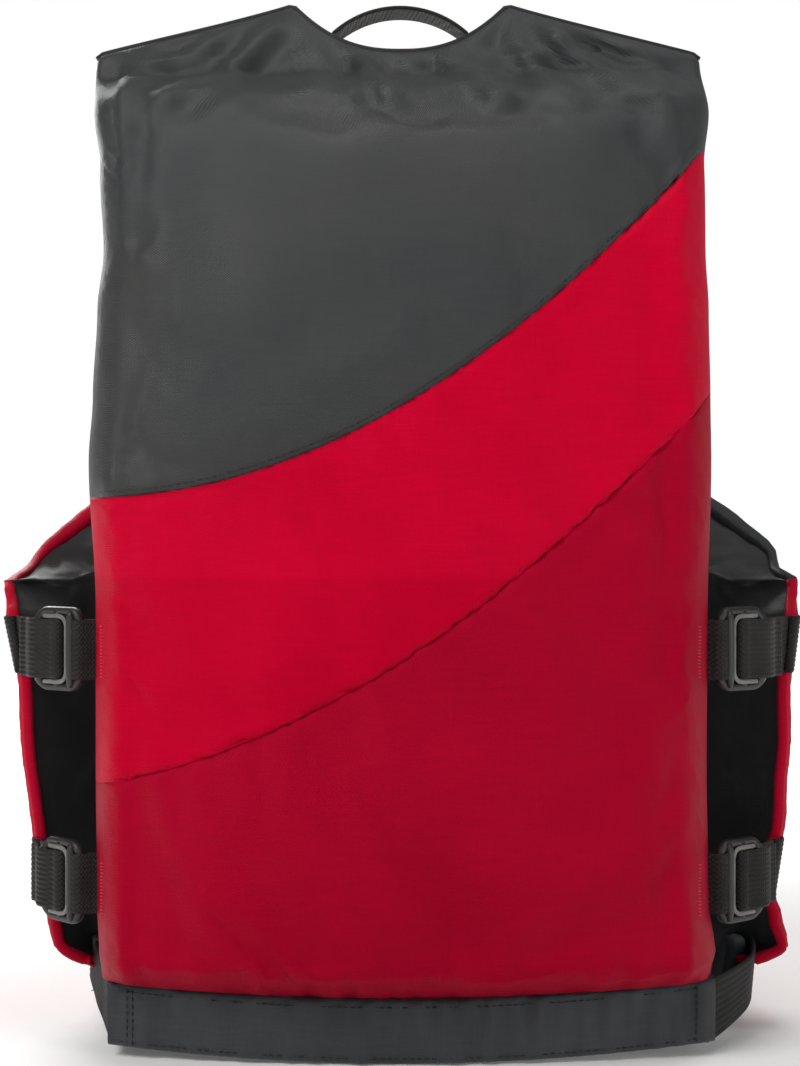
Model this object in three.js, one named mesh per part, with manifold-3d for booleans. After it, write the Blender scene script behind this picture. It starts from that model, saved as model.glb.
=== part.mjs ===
// A youth life jacket: foam panels in a fabric shell, a zipped front, side straps with ladder-lock
// adjusters, a waist belt with a side-release buckle, and a grab loop at the neck.
// Millimetres, +Z up, the zip faces -Y and the back panel faces +Y, so +X is the wearer's left.
// It stands on the hem of its waistband, unzipped, with the front edges side by side.
import * as THREE from "three";
import { mergeVertices } from "three/addons/utils/BufferGeometryUtils.js";
import Module from "manifold-3d";

const wasm = await Module();
wasm.setup();

// ---- Driving dimensions ----
// Overall
const HEIGHT = 455; // hem to the top of the shoulders
const BACK_HALF_WIDTH = 130;
const CHEST_HALF_WIDTH = 177; // outside of the front panels under the armholes
const WAIST_HALF_WIDTH = 161; // outside of the front panels at the hem
const HALF_DEPTH = 95; // centre plane to the outside of the back, and of the front
// Layers
const PADDED = 24; // panel with its foam, shell and lining
const EDGE = 5; // the same panel at its sewn edges
const EDGE_ROLL = 16; // width over which a padded panel thins to its edge
const WING_ROLL = 30; // the same at the sides of the fronts, where the lining rolls outwards
const CLOTH = 1.6; // shell or lining with its seam allowance
const GAP = 0.3; // clearance between neighbouring pieces
const SHOULDER_PADDED = 8;
const FOAM_PLAY = 1.3; // foam to the cloth over it
const BINDING_GAP = 0.8; // panel edge to its binding
// Back panel
const BACK_BOW = 14; // how far the sides curve forward
const LEAN_DROP = 125; // the back starts to lean forward this far under the shoulders
const TOP_LEAN = 45; // how far forward the shoulder line leans
const NECK_HALF_WIDTH = 47.3;
const NECK_DROP = 29; // back neckline under the shoulders' tops
const SHOULDER_DROP = 27; // outer shoulder corner under the shoulders' tops
const FOAM_DROP = 52; // top of the back foam under the shoulders' tops
const BINDING = 5; // height of the bound edge
const UPPER_SEAM = { middle: 273, slope: 73.5, bend: 33.5 }; // seam between the upper and middle panels
const LOWER_SEAM = { middle: 167, slope: 82, bend: 30 }; // seam between the middle and lower panels
// Front panels
const FRONT_SEAM_DROP = 103; // seam between front panel and shoulder
const NECKLINE_DEPTH = 52; // front seam down to the top of the zip
const NECK_FRONT_X = 52; // inner edge of the shoulder at the front seam
const SHOULDER_FRONT_X = 112; // outer edge of the shoulder at the front seam
const ARMHOLE_BOTTOM = 200;
const ARMHOLE_SLOPE = 0.85; // sideways travel of the armhole edge per mm of height
const SIDE_WRAP = 7; // degrees that the front panels reach behind the vest's widest line
const FRONT_LEAN = 12;
const OVAL_POWER = 0.8; // under 1 makes the plan squarer than an ellipse
const FOAM_FOLD = 1.5; // gap at the fold between the upper and lower front foam
const HEM_RISE = 14; // the front hem rises this much to the side
// Waistband
const BAND = 28;
const BAND_THICK = 7;
const ELASTIC_THICK = 2.4;
// Zip
const ZIP_HALF_GAP = 5; // half the distance between the two opened chains
const TOOTH_DEPTH = 2.7;
const TOOTH_PITCH = 6;
const TOOTH_THICK = 3;
const TAPE = 11;
const TAPE_THICK = 1;
const TAPE_SHOWING = 4; // tape between the teeth and the panel edge
const STOP_HEIGHT = 7; // retaining box at the bottom of the zip
const SLIDER = { width: 13, height: 16, plate: 1.2 };
const PULL = { width: 7, length: 27, thick: 1.6, pin: 0.8 };
// Webbing
const WEBBING = 25.4;
const WEBBING_THICK = 1.4;
const UPPER_STRAP_Z = 172;
const LOWER_STRAP_Z = 73;
const STRAP_SEWN = 26; // strap length on the front panel
const TAIL = 20; // free strap end past the adjuster
// Adjuster
const BAR_R = 2;
const BAR_SETOUT = 6; // back panel edge to the adjuster's rear bar
const BAR_PITCH = 12.5; // rear bar to middle bar
const RAIL = 4.7;
const ADJUSTER_LENGTH = 31;
const ADJUSTER_HALF_THICK = 2.4;
const SIDE_PLAY = 0.6; // webbing edge to rail
// Grab loop
const LOOP_WIDTH = 20;
const LOOP_HALF_SPAN = 30;
const LOOP_RISE = 12; // crown of the loop over its legs
const LOOP_LEG = 12;
// Belt and buckle
const BELT_Z = 100;
const BELT_STANDOFF = 8; // belt's middle plane in front of the padded fronts
const BUCKLE = { height: 34, thick: 11, wall: 2.4, female: 38, arm: 20, base: 12, apart: 6 };
const FEMALE_MOUTH_X = -10;
const BELT_SEWN_X = 74;

// ---- Small helpers ----
const v3 = (x, y, z) => new THREE.Vector3(x, y, z);
const lerp = (a, b, t) => a + (b - a) * t;
const clamp01 = (t) => Math.min(1, Math.max(0, t));
const radians = (degrees) => (degrees * Math.PI) / 180;

function ramp(distance, width) {
  const t = clamp01(distance / width);
  return t * (2 - t);
}

// A closed sheet between two surfaces, each a grid of points at(column, row).
function sheet(columns, rows, innerAt, outerAt) {
  const nu = columns - 1;
  const nv = rows - 1;
  const positions = [];
  for (const at of [innerAt, outerAt]) {
    for (let j = 0; j <= nv; j++) {
      for (let i = 0; i <= nu; i++) positions.push(...at(i, j).toArray());
    }
  }
  const layer = columns * rows;
  const id = (i, j, k) => k * layer + j * columns + i;
  const index = [];
  const quad = (a, b, c, d) => index.push(a, b, c, a, c, d);
  for (let j = 0; j < nv; j++) {
    for (let i = 0; i < nu; i++) {
      quad(id(i, j, 1), id(i + 1, j, 1), id(i + 1, j + 1, 1), id(i, j + 1, 1));
      quad(id(i, j, 0), id(i, j + 1, 0), id(i + 1, j + 1, 0), id(i + 1, j, 0));
    }
  }
  for (let i = 0; i < nu; i++) {
    quad(id(i, 0, 0), id(i + 1, 0, 0), id(i + 1, 0, 1), id(i, 0, 1));
    quad(id(i, nv, 1), id(i + 1, nv, 1), id(i + 1, nv, 0), id(i, nv, 0));
  }
  for (let j = 0; j < nv; j++) {
    quad(id(0, j, 1), id(0, j + 1, 1), id(0, j + 1, 0), id(0, j, 0));
    quad(id(nu, j, 0), id(nu, j + 1, 0), id(nu, j + 1, 1), id(nu, j, 1));
  }
  const geometry = new THREE.BufferGeometry();
  geometry.setAttribute("position", new THREE.Float32BufferAttribute(positions, 3));
  geometry.setIndex(facingOut(positions, index));
  return geometry;
}

// steps + 1 values from a to b.
const spread = (a, b, steps) => Array.from({ length: steps + 1 }, (_, i) => lerp(a, b, i / steps));

// The same triangles, turned round if they enclose a negative volume.
function facingOut(positions, index) {
  const at = (n) => v3().fromArray(positions, 3 * n);
  let volume = 0;
  for (let i = 0; i < index.length; i += 3) {
    volume += at(index[i]).dot(at(index[i + 1]).cross(at(index[i + 2])));
  }
  if (volume > 0) return index;
  const turned = [];
  for (let i = 0; i < index.length; i += 3) turned.push(index[i], index[i + 2], index[i + 1]);
  return turned;
}

function solid(geometry) {
  const bare = geometry.clone();
  bare.deleteAttribute("normal");
  bare.deleteAttribute("uv");
  const merged = mergeVertices(bare, 1e-4);
  return new wasm.Manifold(
    new wasm.Mesh({
      numProp: 3,
      vertProperties: merged.attributes.position.array,
      triVerts: new Uint32Array(merged.index.array),
    }),
  );
}

function geometryOf(manifold) {
  const mesh = manifold.getMesh();
  const geometry = new THREE.BufferGeometry();
  geometry.setAttribute("position", new THREE.BufferAttribute(mesh.vertProperties, 3));
  geometry.setIndex(new THREE.BufferAttribute(mesh.triVerts, 1));
  return geometry;
}

// A box from its low and high corners, as a solid to join or cut with.
function block(low, high) {
  const size = high.map((h, i) => h - low[i]);
  const middle = high.map((h, i) => (h + low[i]) / 2);
  return solid(new THREE.BoxGeometry(...size).translate(...middle));
}

// A flat outline in X and Y, extruded from z0 by depth.
function prism(shape, z0, depth) {
  return new THREE.ExtrudeGeometry(shape, { depth, bevelEnabled: false, curveSegments: 10 }).translate(0, 0, z0);
}

function outline(points) {
  return new THREE.Shape(points.map(([x, y]) => new THREE.Vector2(x, y)));
}

function roundedRect(x0, y0, x1, y1, r) {
  const s = new THREE.Shape();
  s.moveTo(x0 + r, y0);
  s.lineTo(x1 - r, y0);
  s.absarc(x1 - r, y0 + r, r, -Math.PI / 2, 0, false);
  s.lineTo(x1, y1 - r);
  s.absarc(x1 - r, y1 - r, r, 0, Math.PI / 2, false);
  s.lineTo(x0 + r, y1);
  s.absarc(x0 + r, y1 - r, r, Math.PI / 2, Math.PI, false);
  s.lineTo(x0, y0 + r);
  s.absarc(x0 + r, y0 + r, r, Math.PI, 1.5 * Math.PI, false);
  return s;
}

// The outline of a band of constant thickness that follows a line of points.
function bandOutline(points, thick) {
  const sides = [[], []];
  points.forEach((p, i) => {
    const before = points[Math.max(0, i - 1)];
    const after = points[Math.min(points.length - 1, i + 1)];
    const tangent = new THREE.Vector2(after[0] - before[0], after[1] - before[1]).normalize();
    sides[0].push([p[0] - (tangent.y * thick) / 2, p[1] + (tangent.x * thick) / 2]);
    sides[1].unshift([p[0] + (tangent.y * thick) / 2, p[1] - (tangent.x * thick) / 2]);
  });
  return outline([...sides[0], ...sides[1]]);
}

// Points on a circle, angles in degrees.
function arc(cx, cy, r, from, to, steps) {
  return Array.from({ length: steps + 1 }, (_, i) => {
    const a = radians(lerp(from, to, i / steps));
    return [cx + r * Math.cos(a), cy + r * Math.sin(a)];
  });
}

// ---- Surfaces of the back panel ----
const BACK_INNER_Y = HALF_DEPTH - PADDED;
const FOAM_TOP = HEIGHT - FOAM_DROP;
const FOAM_BOTTOM = BAND + GAP + EDGE_ROLL;

function backInner(x, z) {
  const bow = BACK_BOW * (x / BACK_HALF_WIDTH) ** 2;
  const lean = Math.max(0, z - (HEIGHT - LEAN_DROP)) / LEAN_DROP;
  return BACK_INNER_Y - bow - TOP_LEAN * lean ** 2;
}

function backThickness(x, z) {
  const side = ramp(BACK_HALF_WIDTH - Math.abs(x), EDGE_ROLL);
  const top = ramp(FOAM_TOP + EDGE_ROLL - z, EDGE_ROLL);
  const bottom = ramp(z - BAND - GAP, EDGE_ROLL);
  return EDGE + (PADDED - EDGE) * side * top * bottom;
}

function backPoint(x, z, depth) {
  return v3(x, backInner(x, z) + depth, z);
}

// Top edge of the back: the neckline between two shoulder peaks, then the slope to each corner.
function backTop(x) {
  const across = Math.abs(x);
  if (across < NECK_HALF_WIDTH) return HEIGHT - NECK_DROP * (1 - (across / NECK_HALF_WIDTH) ** 1.6);
  return HEIGHT - SHOULDER_DROP * ((across - NECK_HALF_WIDTH) / (BACK_HALF_WIDTH - NECK_HALF_WIDTH)) ** 1.1;
}

function seamHeight(seam, x) {
  const t = -x / BACK_HALF_WIDTH;
  return seam.middle + seam.slope * t + seam.bend * t * t;
}

// Columns across the back, with one at each shoulder peak and at the start of each rolled edge.
const halfColumns = [
  ...spread(0, NECK_HALF_WIDTH, 3),
  ...spread(NECK_HALF_WIDTH, BACK_HALF_WIDTH - EDGE_ROLL, 3).slice(1),
  BACK_HALF_WIDTH,
];
const BACK_COLUMNS = [...halfColumns.slice(1).map((x) => -x).reverse(), ...halfColumns];
const FOAM_COLUMNS = BACK_COLUMNS.slice(1, -1);

// A layer of the back: heights gives the rows at a place across, the depths are functions of place.
function backLayer(columns, heights, innerDepth, outerDepth) {
  const rows = heights(0).length;
  const place = (depthAt) => (i, j) => {
    const x = columns[i];
    const z = heights(x)[j];
    return backPoint(x, z, depthAt(x, z));
  };
  return sheet(columns.length, rows, place(innerDepth), place(outerDepth));
}

const flat = () => 0;
const clothDepth = () => CLOTH;
const foamInner = () => CLOTH + FOAM_PLAY;
const shellInner = (x, z) => backThickness(x, z) - CLOTH;
const backFoamOuter = (x, z) => backThickness(x, z) - CLOTH - FOAM_PLAY;
const backPanel = (heights) => backLayer(BACK_COLUMNS, heights, shellInner, backThickness);

// ---- Surfaces of the front panels, built on the wearer's left and mirrored for the right ----
const FRONT_TOP = HEIGHT - FRONT_SEAM_DROP;
const ZIP_TOP = FRONT_TOP - NECKLINE_DEPTH;
const SHELL_EDGE_X = ZIP_HALF_GAP + TOOTH_DEPTH + GAP + TAPE_SHOWING;
const FRONT_INNER_Y = HALF_DEPTH - PADDED;

function innerHalfWidth(z) {
  const t = clamp01((z - BAND) / (ARMHOLE_BOTTOM - BAND));
  return lerp(WAIST_HALF_WIDTH, CHEST_HALF_WIDTH, t * t * (3 - 2 * t)) - PADDED;
}

function angleAtX(x, z) {
  return Math.asin(clamp01(x / innerHalfWidth(z)) ** (1 / OVAL_POWER));
}

function zipEdgeAngle(z) {
  const t = clamp01((z - ZIP_TOP) / NECKLINE_DEPTH);
  return angleAtX(lerp(SHELL_EDGE_X, NECK_FRONT_X, t ** 0.7), z);
}

function sideEdgeAngle(z) {
  const full = Math.PI / 2 + radians(SIDE_WRAP);
  const reach = innerHalfWidth(z) - Math.max(0, z - ARMHOLE_BOTTOM) * ARMHOLE_SLOPE;
  if (z > ARMHOLE_BOTTOM) return angleAtX(Math.max(SHOULDER_FRONT_X, reach), z);
  return lerp(full, Math.PI / 2, ramp(z - (ARMHOLE_BOTTOM - EDGE_ROLL), EDGE_ROLL));
}

function frontPoint(angle, z, depth) {
  const cos = Math.cos(angle);
  const across = Math.sin(angle) ** OVAL_POWER;
  const along = Math.sign(cos) * Math.abs(cos) ** OVAL_POWER;
  const lean = FRONT_LEAN * (Math.max(0, z - ZIP_TOP) / NECKLINE_DEPTH) ** 2;
  return v3((innerHalfWidth(z) + depth) * across, -(FRONT_INNER_Y + depth) * along + lean, z);
}

// The angle reached after going mm round the front from angle.
function stepRound(angle, z, mm) {
  const small = mm < 0 ? -0.02 : 0.02;
  const speed = frontPoint(angle, z, 0).distanceTo(frontPoint(angle + small, z, 0)) / Math.abs(small);
  return angle + mm / speed;
}

const frontHem = (u) => HEM_RISE * Math.max(0, (u - 0.3) / 0.7) ** 1.5;
const shellBottom = (u) => frontHem(u) + BAND + GAP;

function sideRamp(angle, z) {
  const radius = (innerHalfWidth(z) + FRONT_INNER_Y) / 2;
  return ramp((sideEdgeAngle(z) - angle) * radius, WING_ROLL);
}

function frontThickness(angle, z) {
  const radius = (innerHalfWidth(z) + FRONT_INNER_Y) / 2;
  const zip = ramp((angle - zipEdgeAngle(z)) * radius, EDGE_ROLL);
  const ends = ramp(z - BAND - GAP, EDGE_ROLL) * ramp(FRONT_TOP - z, EDGE_ROLL);
  return EDGE + (PADDED - EDGE) * zip * sideRamp(angle, z) * ends;
}

// Depth of the lining's inside face: the side edges roll outwards, except under the shoulder seam.
function frontBase(angle, z) {
  return (PADDED - EDGE) * (1 - sideRamp(angle, z)) * ramp(FRONT_TOP - z, 2 * WING_ROLL);
}

const ARMHOLE_TOP = ARMHOLE_BOTTOM + (CHEST_HALF_WIDTH - PADDED - SHOULDER_FRONT_X) / ARMHOLE_SLOPE;
const ROLL_START = FRONT_TOP - EDGE_ROLL;
const FRONT_FOAM_BOTTOM = HEM_RISE + BAND + GAP + EDGE_ROLL;
const ARMHOLE_LEVELS = spread(ARMHOLE_BOTTOM, ARMHOLE_TOP, 4);
// Heights that every layer of the fronts shares, so that neighbouring layers stay parallel.
const FRONT_LEVELS = [
  ...spread(FRONT_FOAM_BOTTOM, ARMHOLE_BOTTOM - EDGE_ROLL, 3),
  ...ARMHOLE_LEVELS,
  ...spread(ARMHOLE_TOP, ZIP_TOP, 2).slice(1),
  ...spread(ZIP_TOP, ROLL_START, 2).slice(1),
  FRONT_TOP,
];
const levelsBetween = (low, high) => FRONT_LEVELS.filter((z) => z > low && z < high);
const FRONT_STEPS = 8; // columns between the two rolled edges of a front panel

// Angles of the columns of a front panel at one height, with one at the start of each rolled edge
// and one halfway round the wing's.
function frontColumns(z) {
  const from = zipEdgeAngle(z);
  const to = sideEdgeAngle(z);
  const rolled = stepRound(to, z, -WING_ROLL);
  return [from, ...spread(stepRound(from, z, EDGE_ROLL), rolled, FRONT_STEPS), (rolled + to) / 2, to];
}

// A layer of the front: skip leaves out that many columns at each edge, and heights gives the rows
// at a share of the way from the zip to the side.
function frontLayer(skip, heights, innerDepth, outerDepth) {
  const columns = FRONT_STEPS + 4;
  const place = (depthAt) => (i, j) => {
    const column = i + skip;
    const z = heights(column / (columns - 1))[j];
    const angle = frontColumns(z)[column];
    return frontPoint(angle, z, frontBase(angle, z) + depthAt(angle, z));
  };
  return sheet(columns - 2 * skip, heights(0).length, place(innerDepth), place(outerDepth));
}

const frontShellInner = (angle, z) => frontThickness(angle, z) - CLOTH;
const frontPanel = (heights) => frontLayer(0, heights, frontShellInner, frontThickness);
const frontFoamOuter = (angle, z) => frontThickness(angle, z) - CLOTH - FOAM_PLAY;
const frontFoam = (heights) => frontLayer(1, () => heights, foamInner, frontFoamOuter);

// The bound edge beyond the side of a front panel, from the hem up to the shoulder.
function sideBinding() {
  const heights = [HEM_RISE + BAND + GAP, ...FRONT_LEVELS];
  const place = (depth) => (i, j) => {
    const z = heights[j];
    const angle = stepRound(sideEdgeAngle(z), z, BINDING_GAP + (i * BINDING) / 2);
    return frontPoint(angle, z, frontBase(angle, z) + depth);
  };
  return sheet(2, heights.length, place(-GAP), place(EDGE + GAP));
}

// ---- Shoulders: each runs from the back's top edge forward and down to the front seam ----
function shoulderPoint(u, v, offset) {
  const x = lerp(NECK_HALF_WIDTH, BACK_HALF_WIDTH, u);
  const top = backTop(x);
  const half = SHOULDER_PADDED / 2;
  const start = v3(x, backInner(x, top) - 3 * GAP, top - half);
  const angle = lerp(zipEdgeAngle(FRONT_TOP), sideEdgeAngle(FRONT_TOP), u);
  const end = frontPoint(angle, FRONT_TOP, EDGE / 2);
  end.z += GAP;
  const curve = new THREE.CubicBezierCurve3(
    start,
    start.clone().add(v3(0, -38, 0)),
    end.clone().add(v3(0, 8, 55)),
    end,
  );
  const tangent = curve.getTangent(v);
  const normal = v3(0, -tangent.z, tangent.y).multiplyScalar(v < 1 ? -1 : 0);
  if (v === 1) normal.set(0, -1, 0);
  return curve.getPoint(v).add(normal.normalize().multiplyScalar(offset));
}

function shoulderLayer(low, high, trim) {
  const across = 3;
  const along = 9;
  const place = (offset) => (i, j) => shoulderPoint(lerp(trim, 1 - trim, i / across), j / along, offset);
  return sheet(across + 1, along + 1, place(low), place(high));
}

// ---- Straps and adjusters ----
const BAR = [BACK_HALF_WIDTH + BAR_SETOUT, backInner(BACK_HALF_WIDTH, 0) + EDGE / 2];
const STRAP_LEVEL = -(BAR_R + GAP + WEBBING_THICK - 0.5); // load strap's middle under the bars
const OUTSIDE = WEBBING_THICK / 2 + 5 * GAP; // strap's middle over the panel it lies on
// Height at which a strap's panel is widest: the panel narrows again near the armhole.
const widestLevel = (z) => Math.min(z + WEBBING / 2, ARMHOLE_BOTTOM - EDGE_ROLL);

// Frame of a strap at one height: the line from the adjuster's rear bar to the front panel's side.
function strapFrame(z) {
  const widest = widestLevel(z);
  const bound = stepRound(sideEdgeAngle(widest), widest, BINDING_GAP + BINDING / 2);
  const side = frontPoint(bound, widest, frontBase(bound, widest) + EDGE + 3 * GAP + OUTSIDE);
  const reach = Math.hypot(side.x - BAR[0], side.y - BAR[1]);
  const heading = Math.atan2(side.y - BAR[1], side.x - BAR[0]) - Math.asin(STRAP_LEVEL / reach);
  const along = [Math.cos(heading), Math.sin(heading)];
  const out = [-along[1], along[0]];
  const at = (s, n) => [BAR[0] + along[0] * s + out[0] * n, BAR[1] + along[1] * s + out[1] * n];
  return { at, reach };
}

function strapLoop(z) {
  const ring = new THREE.Shape();
  ring.absarc(BAR[0], BAR[1], BAR_R + GAP + WEBBING_THICK, 0, 2 * Math.PI, false);
  const sewn = block(
    [BACK_HALF_WIDTH + GAP, BAR[1] - WEBBING_THICK, z - WEBBING / 2],
    [BAR[0] - BAR_R - GAP, BAR[1] + WEBBING_THICK, z + WEBBING / 2],
  );
  const hole = new THREE.Shape();
  hole.absarc(BAR[0], BAR[1], BAR_R + GAP, 0, 2 * Math.PI, false);
  const eye = solid(prism(ring, z - WEBBING / 2, WEBBING));
  const bore = solid(prism(hole, z - WEBBING / 2 - 1, WEBBING + 2));
  return geometryOf(eye.add(sewn).subtract(bore));
}

function adjuster(z) {
  const { at } = strapFrame(z);
  const halfWindow = WEBBING / 2 + SIDE_PLAY;
  const rail = outline(
    [
      [-4, -1.2],
      [-2.6, -ADJUSTER_HALF_THICK],
      [ADJUSTER_LENGTH - 8, -ADJUSTER_HALF_THICK],
      [ADJUSTER_LENGTH - 4, -0.6],
      [ADJUSTER_LENGTH - 4, 3.2],
      [ADJUSTER_LENGTH - 7, ADJUSTER_HALF_THICK + 1],
      [-2.6, ADJUSTER_HALF_THICK],
      [-4, 1.2],
    ].map(([s, n]) => at(s, n)),
  );
  const bar = (s, n) => {
    const round = new THREE.Shape();
    const [x, y] = at(s, n);
    round.absarc(x, y, BAR_R, 0, 2 * Math.PI, false);
    return solid(prism(round, z - halfWindow - 1, 2 * halfWindow + 2));
  };
  const frontBar = outline(
    [
      [ADJUSTER_LENGTH - 9, 0.5],
      [ADJUSTER_LENGTH - 4, 0.2],
      [ADJUSTER_LENGTH - 4, 3.2],
      [ADJUSTER_LENGTH - 8.5, 3.2],
    ].map(([s, n]) => at(s, n)),
  );
  const lower = solid(prism(rail, z - halfWindow - RAIL, RAIL));
  const upper = solid(prism(rail, z + halfWindow, RAIL));
  const grip = solid(prism(frontBar, z - halfWindow - 1, 2 * halfWindow + 2));
  return geometryOf(lower.add(upper).add(bar(0, 0)).add(bar(BAR_PITCH, 0.5)).add(grip));
}

// One length of webbing: sewn on the front panel, under the adjuster, over its middle bar, and out
// again as the free tail between the load strap and the adjuster's front bar.
function sideStrap(z) {
  const { at, reach } = strapFrame(z);
  const wrap = BAR_R + GAP + WEBBING_THICK / 2;
  const widest = widestLevel(z);
  const sewn = [];
  for (let mm = STRAP_SEWN; mm >= 0; mm -= STRAP_SEWN / 4) {
    const angle = stepRound(sideEdgeAngle(widest), widest, -mm);
    const skin = frontBase(angle, widest) + frontThickness(angle, widest);
    const p = frontPoint(angle, widest, skin + OUTSIDE);
    sewn.push([p.x, p.y]);
  }
  const tailLevel = STRAP_LEVEL + WEBBING_THICK + GAP;
  const turn = arc(BAR_PITCH, 0.5, wrap, -100, -330, 12);
  const threaded = [
    [reach - 3, STRAP_LEVEL],
    [BAR_PITCH + 8, STRAP_LEVEL],
    ...turn,
    [BAR_PITCH + wrap + 2.2, tailLevel + 0.5],
    [BAR_PITCH + wrap + 4.5, tailLevel],
    [ADJUSTER_LENGTH + TAIL, tailLevel],
  ].map(([s, n]) => at(s, n));
  return prism(bandOutline([...sewn, ...threaded], WEBBING_THICK), z - WEBBING / 2, WEBBING);
}

// ---- Grab loop ----
function grabLoop() {
  const top = backTop(LOOP_HALF_SPAN);
  const foot = top - LOOP_LEG;
  const radius = (LOOP_HALF_SPAN ** 2 + LOOP_RISE ** 2) / (2 * LOOP_RISE);
  const half = (Math.asin(LOOP_HALF_SPAN / radius) * 180) / Math.PI;
  const crown = arc(0, top + LOOP_RISE - radius, radius, 90 + half, 90 - half, 12);
  const path = [[-LOOP_HALF_SPAN - 1, foot], [-LOOP_HALF_SPAN - 0.6, top - 4], ...crown];
  path.push([LOOP_HALF_SPAN + 0.6, top - 4], [LOOP_HALF_SPAN + 1, foot]);
  const back = backInner(LOOP_HALF_SPAN, top) - 2 * GAP;
  const band = prism(bandOutline(path, WEBBING_THICK), 0, LOOP_WIDTH);
  return band.rotateX(Math.PI / 2).translate(0, back, 0);
}

// ---- Waistband ----
const BAND_OVER = (BAND_THICK - EDGE) / 2;
const backWaistband = () => backLayer(BACK_COLUMNS, () => [0, BAND], () => -BAND_OVER, () => EDGE + BAND_OVER);
const frontBandRows = (u) => [frontHem(u), frontHem(u) + BAND];
// The band keeps to the inside of the rolled wing, so its depth is taken back from the base.
const bandDepth = (depth) => (angle, z) => depth - frontBase(angle, z);
const frontWaistband = () => frontLayer(0, frontBandRows, bandDepth(-BAND_OVER), bandDepth(EDGE + BAND_OVER));


// Elastic between the back waistband's end and the front waistband's side.
function waistElastic() {
  const margin = 2;
  const zFront = HEM_RISE + BAND / 2;
  const front = frontPoint(stepRound(sideEdgeAngle(zFront), zFront, 1 + GAP), zFront, EDGE / 2);
  const start = v3(BACK_HALF_WIDTH + ELASTIC_THICK / 2 + GAP, BAR[1], 0);
  const across = v3(front.x - start.x, front.y - start.y, 0);
  const out = v3(-across.y, across.x, 0).normalize();
  const place = (offset) => (i, j) => {
    const low = i * HEM_RISE + margin;
    const p = start.clone().addScaledVector(across, i).addScaledVector(out, offset);
    return p.setZ(low + j * (BAND - 2 * margin));
  };
  return sheet(2, 2, place(-ELASTIC_THICK / 2), place(ELASTIC_THICK / 2));
}

// ---- Zip ----
const ZIP_BOTTOM = BAND + 2;
const CHAIN_Y = -(FRONT_INNER_Y + EDGE / 2);
const TAPE_X = ZIP_HALF_GAP + TOOTH_DEPTH + GAP;

function zipTape() {
  const box = [
    [TAPE_X, CHAIN_Y - TAPE_THICK / 2, ZIP_BOTTOM],
    [TAPE_X + TAPE, CHAIN_Y + TAPE_THICK / 2, ZIP_TOP - GAP],
  ];
  return geometryOf(block(...box));
}

// A strip of teeth that point to the other chain, the two sides half a pitch apart.
function zipTeeth(phase) {
  const spine = ZIP_HALF_GAP + TOOTH_DEPTH;
  const root = spine - 0.9;
  const first = ZIP_BOTTOM + STOP_HEIGHT + 1 + phase * TOOTH_PITCH;
  const count = Math.floor((ZIP_TOP - 2 - first) / TOOTH_PITCH);
  const points = [[spine, first]];
  for (let i = 0; i < count; i++) {
    const z = first + i * TOOTH_PITCH;
    points.push([root, z], [ZIP_HALF_GAP, z + 0.4], [ZIP_HALF_GAP, z + 2.1], [root, z + 2.5]);
  }
  points.push([root, first + count * TOOTH_PITCH], [spine, first + count * TOOTH_PITCH]);
  const comb = prism(outline(points), 0, TOOTH_THICK);
  return comb.rotateX(Math.PI / 2).translate(0, CHAIN_Y + TOOTH_THICK / 2, 0);
}

function chainEnd(inner, outer, height) {
  const thick = TOOTH_THICK / 2 + 0.6;
  return geometryOf(block([inner, CHAIN_Y - thick, ZIP_BOTTOM], [outer, CHAIN_Y + thick, ZIP_BOTTOM + height]));
}

const SLIDER_X = ZIP_HALF_GAP - 1;
const SLIDER_Z = ZIP_BOTTOM + STOP_HEIGHT + 0.5;
const SLIDER_HALF_THICK = TOOTH_THICK / 2 + 0.5 + SLIDER.plate;
const PULL_Y = CHAIN_Y - SLIDER_HALF_THICK - PULL.pin - 1;
const PULL_Z = SLIDER_Z + SLIDER.height - 5;

function zipSlider() {
  const half = SLIDER.width / 2;
  const x0 = SLIDER_X - half;
  const x1 = SLIDER_X + half;
  const top = SLIDER_Z + SLIDER.height;
  const shield = outline([
    [x0 + 2, SLIDER_Z],
    [x1 - 2, SLIDER_Z],
    [x1, SLIDER_Z + 5],
    [x1, top - 2],
    [x1 - 2, top],
    [x0 + 2, top],
    [x0, top - 2],
    [x0, SLIDER_Z + 5],
  ]);
  const plates = solid(
    prism(shield, 0, 2 * SLIDER_HALF_THICK).rotateX(Math.PI / 2).translate(0, CHAIN_Y + SLIDER_HALF_THICK, 0),
  );
  const room = TOOTH_THICK / 2 + 0.5;
  const lip = TAPE_THICK / 2 + 0.5;
  const chain = block([x0 + 1.4, CHAIN_Y - room, SLIDER_Z - 1], [x1 - 1.4, CHAIN_Y + room, top + 1]);
  const slit = block([x0 - 1, CHAIN_Y - lip, SLIDER_Z - 1], [x1 + 1, CHAIN_Y + lip, top + 1]);
  const wedge = block([x0 + 3, CHAIN_Y - room, top - 8], [ZIP_HALF_GAP - 0.5, CHAIN_Y + room, top]);
  const bail = block(
    [SLIDER_X - 1, PULL_Y - PULL.pin - 1.2, PULL_Z - 3],
    [SLIDER_X + 1, CHAIN_Y - SLIDER_HALF_THICK + 0.4, PULL_Z + 3],
  );
  return geometryOf(plates.subtract(chain.add(slit).subtract(wedge)).add(bail).subtract(pullPin(PULL.pin + GAP)));
}

// The cross pin of the pull tab, or with a larger radius the hole it turns in.
function pullPin(radius) {
  const rod = new THREE.CylinderGeometry(radius, radius, PULL.width - 0.4, 12);
  return solid(rod.rotateZ(Math.PI / 2).translate(SLIDER_X, PULL_Y, PULL_Z));
}

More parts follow.
